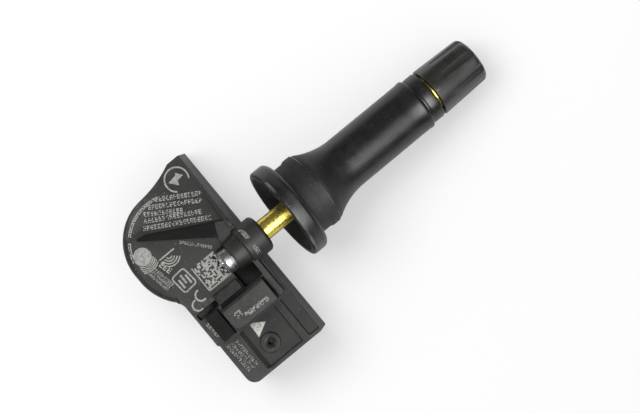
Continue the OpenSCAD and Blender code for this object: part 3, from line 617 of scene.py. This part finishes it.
def matt_material(name, colour, second):
    """Dull material whose tone wanders between two colours."""
    made, w, position = new_finish(name, in_housing=True)
    cloud = w.spread(w.noise(position, 600.0, 4.0, 0.6), 0.35, 0.65)
    fine = w.noise(position, 5400.0, 2.0, 0.5)
    shade(w, {"Base Color": w.blend(cloud, opaque(colour), opaque(second)),
              "Roughness": w.spread(cloud, 0.0, 1.0, 0.54, 0.66),
              "Normal": w.bump(fine, GRAIN_DEPTH)})
    return made


def board_laminate(name, colour):
    """Green solder mask over copper tracks, with a weave under it."""
    made, w, position = new_finish(name, in_housing=True)
    tracks = w.add("ShaderNodeTexBrick", {
        "Vector": position, "Scale": 260.0, "Mortar Size": 0.05, "Color1": (0, 0, 0, 1),
        "Color2": (0, 0, 0, 1), "Mortar": (1, 1, 1, 1), "Brick Width": 0.9, "Row Height": 0.32})
    lit = opaque([c * 1.9 for c in colour])
    tone = w.blend(tracks.outputs["Fac"], opaque(colour), lit)
    weave = w.add("ShaderNodeTexWave", {"Vector": position, "Scale": 700.0})
    height = w.maths("ADD", tracks.outputs["Fac"], w.maths("MULTIPLY", weave.outputs["Fac"], 0.2))
    shade(w, {"Base Color": tone, "Roughness": 0.32, "Normal": w.bump(height, 0.00001)})
    return made


def wound_copper(name, colour):
    """Enamelled wire wound side by side along the coil, with painted shade between the turns."""
    made, w, position = new_finish(name, in_housing=True)
    wires = w.add("ShaderNodeTexWave", {"Vector": position, "Scale": 1500.0, "Distortion": 0.4},
                  bands_direction="X").outputs["Fac"]
    # Painted shade: the colour darkens in the gaps between the turns of wire
    tone = w.blend(wires, opaque([c * 0.35 for c in colour]), opaque(colour))
    shade(w, {"Base Color": tone, "Roughness": 0.25, "Metallic": 0.85, "Coat Weight": 0.4,
              "Normal": w.bump(wires, 0.00006)})
    return made


# Settings that a user may change

class SensorHousingSettings(bpy.types.PropertyGroup):
    edge_round: FloatProperty(
        name="Edge rounding", description="Radius of the housing's moulded edges",
        default=0.00014, min=0.00004, max=0.0003, precision=5, unit="LENGTH")
    mark_height: FloatProperty(
        name="Mark height", description="How far the engraved marks stand above the plastic",
        default=0.000015, min=0.000005, max=0.0001, precision=6, unit="LENGTH")
    mark_seed: IntProperty(
        name="Mark seed", description="Start value of the marks' random cells",
        default=11, min=0)
    plastic: FloatVectorProperty(
        name="Plastic", description="Colour of the housing", subtype="COLOR", size=3,
        min=0, max=1, default=(0.0165, 0.017, 0.0153))
    marks: FloatVectorProperty(
        name="Marks", description="Colour of the engraved marks", subtype="COLOR", size=3,
        min=0, max=1, default=(0.37, 0.38, 0.345))


class SensorValveSettings(bpy.types.PropertyGroup):
    thread_pitch: FloatProperty(
        name="Thread pitch", description="Rise of the cap thread in one turn",
        default=0.00079375, min=0.0005, max=0.001, precision=6, unit="LENGTH")
    rubber: FloatVectorProperty(
        name="Rubber", description="Colour of the rubber valve", subtype="COLOR", size=3,
        min=0, max=1, default=(0.005, 0.0051, 0.0049))
    brass: FloatVectorProperty(
        name="Brass", description="Colour of the turned stem", subtype="COLOR", size=3,
        min=0, max=1, default=(0.86, 0.7, 0.15))
    cap: FloatVectorProperty(
        name="Cap", description="Colour of the valve cap", subtype="COLOR", size=3,
        min=0, max=1, default=(0.009, 0.0094, 0.0078))
    screw: FloatVectorProperty(
        name="Screw", description="Colour of the zinc-plated screw", subtype="COLOR", size=3,
        min=0, max=1, default=(0.43, 0.44, 0.43))


class SensorStageSettings(bpy.types.PropertyGroup):
    floor: FloatVectorProperty(
        name="Floor", description="Colour of the floor", subtype="COLOR", size=3,
        min=0, max=1, default=(0.92, 0.92, 0.92))
    key: FloatProperty(
        name="Key lamp", description="Power of the softbox that lights the floor",
        default=1.35, min=0, max=20, unit="POWER")
    sheen: FloatProperty(
        name="Sheen lamp", description="Power of the softbox that shows in the rubber",
        default=3.6, min=0, max=20, unit="POWER")
    surround: FloatProperty(
        name="Surround", description="Brightness of the dim surround at the horizon",
        default=0.08, min=0, max=3)
    overhead: FloatProperty(
        name="Overhead", description="Brightness of the surround straight above",
        default=0.2, min=0, max=3)
    fill: FloatProperty(
        name="Fill", description="Brightness of the surround as matt surfaces see it",
        default=0.77, min=0, max=3)
    bleach: FloatProperty(
        name="Bleach", description="How far the camera sees the floor as plain white",
        default=0.42, min=0, max=0.9)


# Pieces

class SENSOR_OT_housing(bpy.types.Operator):
    """Round the housing's moulded edges and give it its plastic"""
    bl_idname = "sensor.housing"
    bl_label = "Housing"

    def execute(self, context):
        settings = context.scene.sensor_housing
        back = HOUSING.inverted()
        # Plan spots where two roundings run into each other, with the reach left sharp
        wing_end, heel_end = (Vector((-6.1, 18.9)), 1.0), (Vector((-13.6, -0.9)), 2.8)

        def clear_of(place, spots):
            plan = (back @ place / MM).xy
            return all((plan - spot).length > reach for spot, reach in spots)

        def keep(start, end):
            return all(clear_of(start.lerp(end, step / 20), (wing_end, heel_end))
                       for step in range(21))

        def merge(place):
            return clear_of(place, (heel_end,))

        plastic = moulded_plastic("housing_plastic", settings.plastic, dust=0.065,
                                  leaning_shaded=LEANING_SHADED)
        shell = softened("housing", "housing_shell", settings.edge_round, keep=keep,
                         merge=merge)
        smooth(shell)
        even_normals(shell)
        stand_for(shell, "housing", "sensor", plastic)
        dress("base_cover", moulded_plastic("cover_plastic", (0.02, 0.02, 0.02), 0.5))
        return {"FINISHED"}


def cell_row(matrix, start, end, height, rng, rows=5, fill=0.7, group=4):
    """A row of small figures made of strokes, each group - 1 columns wide."""
    run = Vector(end) - Vector(start)
    cell = height / rows
    columns = max(3, int(run.length / cell))
    if group:
        columns = max(group - 1, columns // group * group - 1)
    middle = (Vector(start) + Vector(end)) / 2
    deselect()
    bpy.ops.mesh.primitive_grid_add(x_subdivisions=columns, y_subdivisions=rows, size=1)
    piece = bpy.context.object
    edit(piece)
    bpy.ops.transform.resize(value=(columns * cell * MM, height * MM, 1))
    bpy.ops.mesh.select_all(action="DESELECT")
    bpy.ops.mesh.select_mode(type="FACE")
    bpy.ops.object.mode_set(mode="OBJECT")
    for face in piece.data.polygons:
        column = int((face.center.x / MM / cell) + columns / 2)
        level = int((face.center.y / MM / cell) + rows / 2)
        stroke = not group or column % group == 0 or level % 2 == 0
        gap = bool(group) and column % group == group - 1
        face.select = gap or not stroke or rng.random() > fill
    bpy.ops.object.mode_set(mode="EDIT")
    bpy.ops.mesh.delete(type="FACE")
    bpy.ops.mesh.select_mode(type="VERT")
    bpy.ops.object.mode_set(mode="OBJECT")
    angle = math.atan2(run.y, run.x)
    settle(piece, matrix @ Matrix.Translation((middle.x * MM, middle.y * MM, 0))
           @ Matrix.Rotation(angle, 4, "Z"))
    return piece


def bar_mark(matrix, start, end, width):
    """A flat straight bar between two places."""
    run = Vector(end) - Vector(start)
    middle = (Vector(start) + Vector(end)) / 2
    deselect()
    bpy.ops.mesh.primitive_plane_add(size=MM)
    piece = bpy.context.object
    edit(piece)
    bpy.ops.transform.resize(value=(run.length, width, 1))
    bpy.ops.object.mode_set(mode="OBJECT")
    settle(piece, matrix @ Matrix.Translation((middle.x * MM, middle.y * MM, 0))
           @ Matrix.Rotation(math.atan2(run.y, run.x), 4, "Z"))
    return piece


def ring_mark(matrix, centre, radius, width, start, end):
    """A flat arc between two angles in degrees, spun from a short line."""
    deselect()
    bpy.ops.mesh.primitive_plane_add(size=1)
    piece = bpy.context.object
    edit(piece)
    bpy.ops.transform.resize(value=(width * MM, 0.0001 * MM, 1))
    bpy.ops.transform.translate(value=(radius * MM, 0, 0))
    bpy.ops.mesh.remove_doubles(threshold=0.001 * MM)
    bpy.ops.transform.rotate(value=-math.radians(start), orient_axis="Z",
                             center_override=(0, 0, 0))
    steps = max(6, int((end - start) / 7.5))
    bpy.ops.mesh.spin(steps=steps, angle=math.radians(start - end), center=(0, 0, 0),
                      axis=(0, 0, 1))
    bpy.ops.mesh.select_all(action="SELECT")
    bpy.ops.mesh.remove_doubles(threshold=0.001 * MM)
    bpy.ops.mesh.normals_make_consistent(inside=False)
    bpy.ops.object.mode_set(mode="OBJECT")
    settle(piece, matrix @ Matrix.Translation((centre[0] * MM, centre[1] * MM, 0)))
    return piece


def disc_mark(matrix, centre, radius, sides, turn=0.0):
    """A flat disc, or a regular shape of few sides, turned by some degrees."""
    deselect()
    bpy.ops.mesh.primitive_circle_add(vertices=sides, radius=radius * MM, fill_type="NGON")
    piece = bpy.context.object
    settle(piece, matrix @ Matrix.Translation((centre[0] * MM, centre[1] * MM, 0))
           @ Matrix.Rotation(math.radians(turn), 4, "Z"))
    return piece


def frame_mark(matrix, centre, size, width, corner_r, turn):
    """A rounded oblong outline: a plane, bevelled at its corners and inset."""
    deselect()
    bpy.ops.mesh.primitive_plane_add(size=MM)
    piece = bpy.context.object
    edit(piece)
    bpy.ops.transform.resize(value=(size[0], size[1], 1))
    bpy.ops.mesh.bevel(offset=corner_r * MM, segments=4, affect="VERTICES")
    bpy.ops.mesh.select_all(action="SELECT")
    bpy.ops.mesh.inset(thickness=width * MM)
    bpy.ops.mesh.delete(type="FACE")
    bpy.ops.object.mode_set(mode="OBJECT")
    settle(piece, matrix @ Matrix.Translation((centre[0] * MM, centre[1] * MM, 0))
           @ Matrix.Rotation(math.radians(turn), 4, "Z"))
    return piece


class SENSOR_OT_marks(bpy.types.Operator):
    """Lay plain engraved marks on the panel, the wing and the blocks"""
    bl_idname = "sensor.marks"
    bl_label = "Engraved marks"

    def execute(self, context):
        settings = context.scene.sensor_housing
        rng = random.Random(settings.mark_seed)
        lift = settings.mark_height / MM
        wing = WING @ Matrix.Translation((0, 0, settings.mark_height))
        panel = panel_at(lift)
        parts = self.wing_marks(wing, rng) + self.edge_marks(wing, panel, rng)
        parts += self.panel_marks(panel, rng) + self.collar_marks(rng)
        clip = panel_at(CLIP_RISE + lift)
        parts.append(cell_row(clip, (-4.6, -10.0), (0.8, -10.2), 0.95, rng, rows=6,
                              fill=0.5, group=0))
        parts.append(cell_row(clip, (-5.5, -8.2), (-5.5, -9.7), 1.4, rng, rows=7,
                              fill=0.4, group=0))
        parts.append(disc_mark(panel_at(-RECESS_DEPTH + lift), (-4.7, -13.25), 1.85, 3, 28))
        marks = join("engraved_marks", parts)
        thin = marks.modifiers.new("thickness", "SOLIDIFY")
        thin.thickness = settings.mark_height * 2
        thin.offset = -1
        apply_modifiers(marks)
        cover(marks, laser_grey("laser_grey", settings.marks))
        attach(marks, "sensor")
        return {"FINISHED"}

    def wing_marks(self, wing, rng):
        parts = []
        for start, end in (((5.64, 6.69), (14.7, 5.87)), ((4.02, 5.53), (14.39, 4.6)),
                           ((2.8, 4.48), (10.67, 3.55)), ((2.49, 3.19), (14.09, 2.53)),
                           ((2.18, 1.91), (15.46, 1.05))):
            parts.append(cell_row(wing, start, end, 0.86, rng, fill=0.74))
        parts.append(ring_mark(wing, (10.54, 9.39), 2.3, 0.3, -6, 261))
        parts.append(disc_mark(wing, (10.1, 9.2), 1.2, 3, 95))
        parts.append(disc_mark(wing, (11.0, 9.9), 0.9, 3, 35))
        return parts

    def collar_marks(self, rng):
        parts = []
        for angle in (-44, -36, -28, -20, 12, 20, 28, 36, 44):
            parts.append(cell_row(on_collar(angle, 4.2), (0, -0.24), (0, 0.24), 0.8, rng,
                                  rows=5, fill=0.75))
        return parts

    def edge_marks(self, wing, panel, rng):
        """Small marks that follow the round edge of the bulge."""
        parts = []
        centre_x, centre_y = BULGE_CENTRE
        row_r = 8.9
        for i in range(26):
            turn = math.radians(77 + i * 3.55)
            at = Vector((centre_x + row_r * math.cos(turn), centre_y + row_r * math.sin(turn)))
            along = Vector((-math.sin(turn), math.cos(turn))) * 0.24
            start, end, surface = at - along, at + along, panel
            if turn < math.radians(138):
                start, end, surface = on_wing(*start), on_wing(*end), wing
            if abs(turn - math.radians(140)) > math.radians(3):
                parts.append(cell_row(surface, start, end, 0.55, rng, rows=3, fill=0.85))
        return parts

    def panel_marks(self, panel, rng):
        parts = [disc_mark(panel, (-12.9, 10.5), 1.75, 40)]
        for i in range(4):
            parts.append(ring_mark(panel, (-12.9, 10.5), 1.98 + 0.36 * i, 0.22,
                                   215 + 7 * i, 325 - 7 * i))
        for radius in (0.55, 1.05, 1.55, 2.05):
            parts.append(ring_mark(panel, (-8.9, 7.6), radius, 0.24, 185, 320))
        parts.append(bar_mark(panel, (-10.9, 8.0), (-7.3, 8.0), 0.28))
        parts.append(cell_row(panel, (-11.2, 7.6), (-10.5, 4.9), 1.1, rng, fill=0.9))
        parts.append(frame_mark(panel, (-9.66, 2.2), (3.3, 4.0), 0.3, 0.7, 5))
        for x, low, high in ((-0.75, 1.0, 2.9), (0.05, 1.5, 3.4), (0.85, 1.0, 2.9)):
            parts.append(bar_mark(panel, (-9.66 + x, low), (-9.66 + x, high), 0.4))
        parts.append(ring_mark(panel, (-9.0, -1.9), 1.05, 0.34, 80, 290))
        parts.append(ring_mark(panel, (-10.6, -3.0), 1.05, 0.34, 80, 290))
        parts.append(cell_row(panel, (-7.1, 0.4), (-1.9, 0.4), 5.2, rng, rows=16,
                              fill=0.55, group=0))
        parts.append(bar_mark(panel, (-7.2, -2.3), (-7.2, 3.0), 0.28))
        parts.append(bar_mark(panel, (-7.2, -2.3), (-1.9, -2.3), 0.28))
        parts.append(cell_row(panel, (-5.8, 8.3), (-1.6, 3.6), 0.6, rng, fill=0.5))
        for shift, width in ((0.0, 0.5), (0.72, 0.55), (1.4, 0.55)):
            parts.append(cell_row(panel, (-14.1 + shift, 8.2), (-13.1 + shift, 2.6),
                                  width, rng, fill=0.75))
        parts.append(cell_row(panel, (-11.45, -6.3), (-11.2, -10.6), 0.9, rng, fill=0.8))
        for shift in (0.0, 0.9, 1.8):
            parts.append(cell_row(panel, (-11.2 + shift, -12.0 - shift * 0.3),
                                  (-10.9 + shift, -18.8), 0.62, rng, fill=0.5))
        return parts


class SENSOR_OT_rubber(bpy.types.Operator):
    """Turn the soft profile of the rubber valve"""
    bl_idname = "sensor.rubber"
    bl_label = "Rubber valve"

    def execute(self, context):
        settings = context.scene.sensor_valve
        taper_r, taper_end = 13.5, 28.06
        taper = []
        for i in range(15):
            height = 20.95 + (taper_end - 20.95) * i / 14
            reach = math.sqrt(taper_r ** 2 - (taper_end - height) ** 2)
            taper.append((5.25 + taper_r - reach, height))
        stations = [(2.05, 14.6), (3.0, 14.6), (3.4, 14.55), (8.0, 12.5)]
        stations += corner(8.45, 12.65, 0.25, 230, 270, 3)
        stations += corner(9.1, 12.9, 0.5, -90, 0)
        stations += corner(8.5, 14.75, 1.1, 0, 90, 8)
        stations += [(7.65, 15.85), (7.42, 15.93), (7.35, 16.1), (7.35, 18.15)]
        stations += [(7.42, 18.4), (7.56, 18.7), (7.6, 18.9), (7.6, 20.1)]
        stations += corner(7.42, 20.2, 0.18, 0, 90, 4)
        stations += [(7.3, 20.42)] + taper
        stations += [(5.24, 36.0), (5.22, 42.0), (5.25, 44.6), (5.33, 45.0), (5.33, 45.45)]
        stations += [(5.2, 45.62), (4.9, 45.68), (4.72, 45.75), (4.7, 46.0), (4.85, 46.15)]
        stations += [(4.93, 46.3), (4.95, 47.9)] + corner(4.65, 48.1, 0.3, 0, 90, 4)
        stations += [(3.5, 48.4), (3.5, 45.7), (3.0, 44.7), (3.0, 16.15), (2.05, 15.2), (2.05, 14.6)]
        rubber = turned("rubber_valve", stations, segments=144)
        settle(rubber, STEM)
        smooth(rubber, 50)
        stand_for(rubber, "rubber_stem", "sensor",
                  valve_rubber("stem_rubber", settings.rubber))
        return {"FINISHED"}


def thread_ridge(pitch, start, end, root, crest):
    """A diamond section screwed up the nose, closed at both ends."""
    turns = (end - start) / (pitch / MM)
    deselect()
    bpy.ops.mesh.primitive_circle_add(vertices=4, radius=1, fill_type="NOTHING",
                                      rotation=(math.pi / 2, 0, 0))
    piece = bpy.context.object
    bpy.ops.object.transform_apply(rotation=True)
    edit(piece)
    bpy.ops.transform.resize(value=((crest - root) * MM, 1, pitch * 0.46))
    bpy.ops.transform.translate(value=(root * MM, 0, start * MM))
    bpy.ops.object.mode_set(mode="OBJECT")
    climb = piece.modifiers.new("climb", "SCREW")
    climb.axis = "Z"
    climb.angle = 2 * math.pi * turns
    climb.screw_offset = (end - start) * MM
    climb.steps = climb.render_steps = int(48 * turns)
    climb.use_smooth_shade = True
    apply_modifiers(piece)
    edit(piece, "DESELECT")
    bpy.ops.mesh.select_non_manifold()
    bpy.ops.mesh.fill()
    bpy.ops.mesh.select_all(action="SELECT")
    bpy.ops.mesh.normals_make_consistent(inside=False)
    bpy.ops.object.mode_set(mode="OBJECT")
    return piece


class SENSOR_OT_stem(bpy.types.Operator):
    """Turn the brass stem and cut its cap thread"""
    bl_idname = "sensor.stem"
    bl_label = "Brass stem"

    def execute(self, context):
        settings = context.scene.sensor_valve
        outside = [(1.25, 1.6), (1.75, 1.6), (2.05, 1.9), (2.05, 15.2), (3.0, 16.15)]
        outside += [(3.0, 44.7), (3.5, 45.7), (3.5, 56.7), (3.35, 57.2), (3.05, 57.2)]
        inside = [(2.6, 56.8), (2.6, 50.0), (1.95, 49.0), (1.95, 43.8)]
        inside += [(1.0, 42.8), (1.0, 7.9), (1.25, 7.6), (1.25, 1.6)]
        tube = turned("tube", outside + inside, segments=96)
        ridge = thread_ridge(settings.thread_pitch, start=49.5, end=56.75, root=3.5, crest=3.85)
        stem = join("brass_stem", [tube, ridge])
        settle(stem, STEM)
        smooth(stem, 30)
        # edges=0.9 darkens the brass toward its grazing edges as painted shade
        stand_for(stem, "stem_tube", "sensor",
                  turned_metal("stem_brass", settings.brass, 0.27, 0.0000016, edges=0.9))
        return {"FINISHED"}


class SENSOR_OT_cap(bpy.types.Operator):
    """Soften the fluted cap and dress its sealing disc"""
    bl_idname = "sensor.cap"
    bl_label = "Valve cap"

    def execute(self, context):
        settings = context.scene.sensor_valve
        cap = softened("cap_shell", "fluted_cap", CAP_EDGE)
        smooth(cap, 40)
        even_normals(cap)
        plastic = moulded_plastic("cap_plastic", settings.cap, 0.3, dust=0.09, wear=0.5,
                                  along_stem=True, specular=0.85, walls=0.0)
        stand_for(cap, "cap_shell", "cap", plastic)
        dress("cap_gasket", matt_material("cap_rubber", (0.13, 0.02, 0.018), (0.2, 0.035, 0.03)))
        return {"FINISHED"}


class SENSOR_OT_screw(bpy.types.Operator):
    """Round the retaining screw's edges and plate it"""
    bl_idname = "sensor.screw"
    bl_label = "Retaining screw"

    def execute(self, context):
        settings = context.scene.sensor_valve
        screw = softened("retaining_screw", "plated_screw", SCREW_EDGE)
        smooth(screw, 40)
        even_normals(screw)
        stand_for(screw, "retaining_screw", "sensor",
                  turned_metal("screw_zinc", settings.screw, 0.3, 0.000002))
        return {"FINISHED"}


class SENSOR_OT_core(bpy.types.Operator):
    """Finish the parts of the valve core"""
    bl_idname = "sensor.core"
    bl_label = "Valve core"

    def execute(self, context):
        brass = turned_metal("core_brass", (0.72, 0.5, 0.18), 0.3)
        for node in ("core_barrel", "core_pin", "core_cup"):
            dress(node, brass)
        dress("core_spring", sheet_metal("spring_steel", (0.58, 0.58, 0.6), 0.25))
        dress("core_seal", matt_material("gasket_silicone", (0.3, 0.05, 0.03), (0.4, 0.08, 0.05)))
        return {"FINISHED"}


class SENSOR_OT_electronics(bpy.types.Operator):
    """Finish the board, the battery and the parts on the board"""
    bl_idname = "sensor.electronics"
    bl_label = "Electronics"

    def execute(self, context):
        silicone = bpy.data.materials["gasket_silicone"]
        tab = sheet_metal("tab_nickel", (0.6, 0.57, 0.5), 0.32)
        finishes = {
            "circuit_board": board_laminate("board_laminate", (0.018, 0.11, 0.045)),
            "battery_cell": sheet_metal("battery_steel", (0.62, 0.62, 0.62), 0.28),
            "battery_tab_top": tab,
            "battery_tab_bottom": tab,
            "sensor_chip": matt_material("chip_plastic", (0.02, 0.02, 0.022), (0.03, 0.03, 0.033)),
            "port_gasket": silicone,
            "port_membrane": matt_material("membrane_film", (0.8, 0.8, 0.77), (0.86, 0.86, 0.84)),
            "loop_antenna": sheet_metal("antenna_brass", (0.7, 0.5, 0.2), 0.3),
            "coil_core": matt_material("coil_ferrite", (0.05, 0.05, 0.055), (0.07, 0.07, 0.075)),
            "coil_winding": wound_copper("winding_copper", (0.55, 0.2, 0.07)),
            "crystal_can": sheet_metal("crystal_steel", (0.66, 0.66, 0.66), 0.25),
            "board_capacitors": matt_material("capacitor_ceramic", (0.4, 0.28, 0.16),
                                              (0.48, 0.35, 0.21)),
        }
        for node, material in finishes.items():
            dress(node, material)
        return {"FINISHED"}


class SENSOR_OT_stage(bpy.types.Operator):
    """Set the floor, the lamps, the surround and the camera"""
    bl_idname = "sensor.stage"
    bl_label = "Stage"

    def execute(self, context):
        settings = context.scene.sensor_stage
        deselect()
        bpy.ops.mesh.primitive_plane_add(size=4, location=(0, 0, -0.00002))
        floor = context.object
        floor.name = "floor"
        made, w, position = new_finish("floor_paper")
        cloud = w.noise(position, 30.0, 3.0, 0.5)
        paper = w.add("ShaderNodeBsdfPrincipled", {
            "Base Color": opaque(settings.floor), "Specular IOR Level": 0.1,
            "Roughness": w.spread(cloud, 0.0, 1.0, 0.85, 0.95)})
        white = w.add("ShaderNodeEmission", {"Color": (1, 1, 1, 1), "Strength": 1.0})
        seen = w.add("ShaderNodeLightPath").outputs["Is Camera Ray"]
        seen = w.maths("MULTIPLY", seen, settings.bleach)
        mixed = w.add("ShaderNodeMixShader", {0: seen, 1: paper.outputs[0], 2: white.outputs[0]})
        w.add("ShaderNodeOutputMaterial", {"Surface": mixed.outputs[0]})
        cover(floor, made)
        key = self.lamp("key", (-0.14, 0.22, 0.42), settings.key, 0.34, 0.3)
        key.visible_glossy = False
        sheen = self.lamp("sheen", (0.0, -0.24, 0.44), settings.sheen, 0.3, 0.41)
        sheen.visible_diffuse = False
        self.surround(context.scene, settings)
        self.camera(context.scene)
        context.scene.view_settings.view_transform = "Standard"
        return {"FINISHED"}

    def lamp(self, name, at, power, width, depth):
        data = bpy.data.lights.new(name, "AREA")
        data.shape = "RECTANGLE"
        data.energy = power
        data.size, data.size_y = width, depth
        lamp = bpy.data.objects.new(name, data)
        bpy.context.scene.collection.objects.link(lamp)
        lamp.location = at
        lamp.rotation_euler = (-Vector(at)).to_track_quat("-Z", "Y").to_euler()
        lamp.visible_camera = False
        return lamp

    def surround(self, scene, settings):
        world = bpy.data.worlds.new("surround")
        world.use_nodes = True
        world.node_tree.nodes.clear()
        scene.world = world
        w = Wiring(world.node_tree)
        direction = w.add("ShaderNodeTexCoord").outputs["Generated"]
        up = w.add("ShaderNodeSeparateXYZ", {0: direction}).outputs["Z"]
        level = w.spread(up, 0.2, 0.8, settings.surround, settings.overhead)
        matt = w.add("ShaderNodeLightPath").outputs["Is Diffuse Ray"]
        fill = w.spread(up, 0.0, 0.7, settings.fill * 0.6, settings.fill)
        level = w.maths("ADD", w.maths("MULTIPLY", matt, fill),
                        w.maths("MULTIPLY", w.maths("SUBTRACT", 1.0, matt), level))
        back = w.add("ShaderNodeBackground", {"Color": (1, 1, 1, 1), "Strength": level})
        w.add("ShaderNodeOutputWorld", {"Surface": back.outputs[0]})

    def camera(self, scene):
        data = bpy.data.cameras.new("camera")
        data.sensor_width = 36
        data.lens = 150.5
        data.clip_start = 0.01
        camera = bpy.data.objects.new("camera", data)
        scene.collection.objects.link(camera)
        camera.location = (-0.00289, -0.00315, 0.510)
        camera.rotation_euler = (0, 0, math.radians(-39.6))
        scene.camera = camera


class SENSOR_PT_panel(bpy.types.Panel):
    """Sizes, colours and steps of the sensor"""
    bl_idname = "SENSOR_PT_panel"
    bl_label = "Tyre pressure sensor"
    bl_space_type = "VIEW_3D"
    bl_region_type = "UI"
    bl_category = "Sensor"

    def draw(self, context):
        layout = self.layout
        for label, group in (("Housing", context.scene.sensor_housing),
                             ("Valve", context.scene.sensor_valve),
                             ("Stage", context.scene.sensor_stage)):
            box = layout.box()
            box.label(text=label)
            for name in group.bl_rna.properties.keys():
                if name not in ("rna_type", "name"):
                    box.prop(group, name)
        for step in STEPS:
            layout.operator(step.bl_idname)


STEPS = (SENSOR_OT_stage, SENSOR_OT_housing, SENSOR_OT_marks, SENSOR_OT_rubber, SENSOR_OT_stem,
         SENSOR_OT_cap, SENSOR_OT_screw, SENSOR_OT_core, SENSOR_OT_electronics)
SETTINGS = (("sensor_housing", SensorHousingSettings), ("sensor_valve", SensorValveSettings),
            ("sensor_stage", SensorStageSettings))


def register():
    for name, group in SETTINGS:
        bpy.utils.register_class(group)
        setattr(bpy.types.Scene, name, PointerProperty(type=group))
    for step in STEPS:
        bpy.utils.register_class(step)
    bpy.utils.register_class(SENSOR_PT_panel)


def unregister():
    bpy.utils.unregister_class(SENSOR_PT_panel)
    for step in reversed(STEPS):
        bpy.utils.unregister_class(step)
    for name, group in reversed(SETTINGS):
        delattr(bpy.types.Scene, name)
        bpy.utils.unregister_class(group)


def main():
    register()
    make_effects()
    bpy.ops.sensor.stage()
    bpy.ops.sensor.housing()
    bpy.ops.sensor.marks()
    bpy.ops.sensor.rubber()
    bpy.ops.sensor.stem()
    bpy.ops.sensor.cap()
    bpy.ops.sensor.screw()
    bpy.ops.sensor.core()
    bpy.ops.sensor.electronics()


if __name__ == "__main__":
    main()
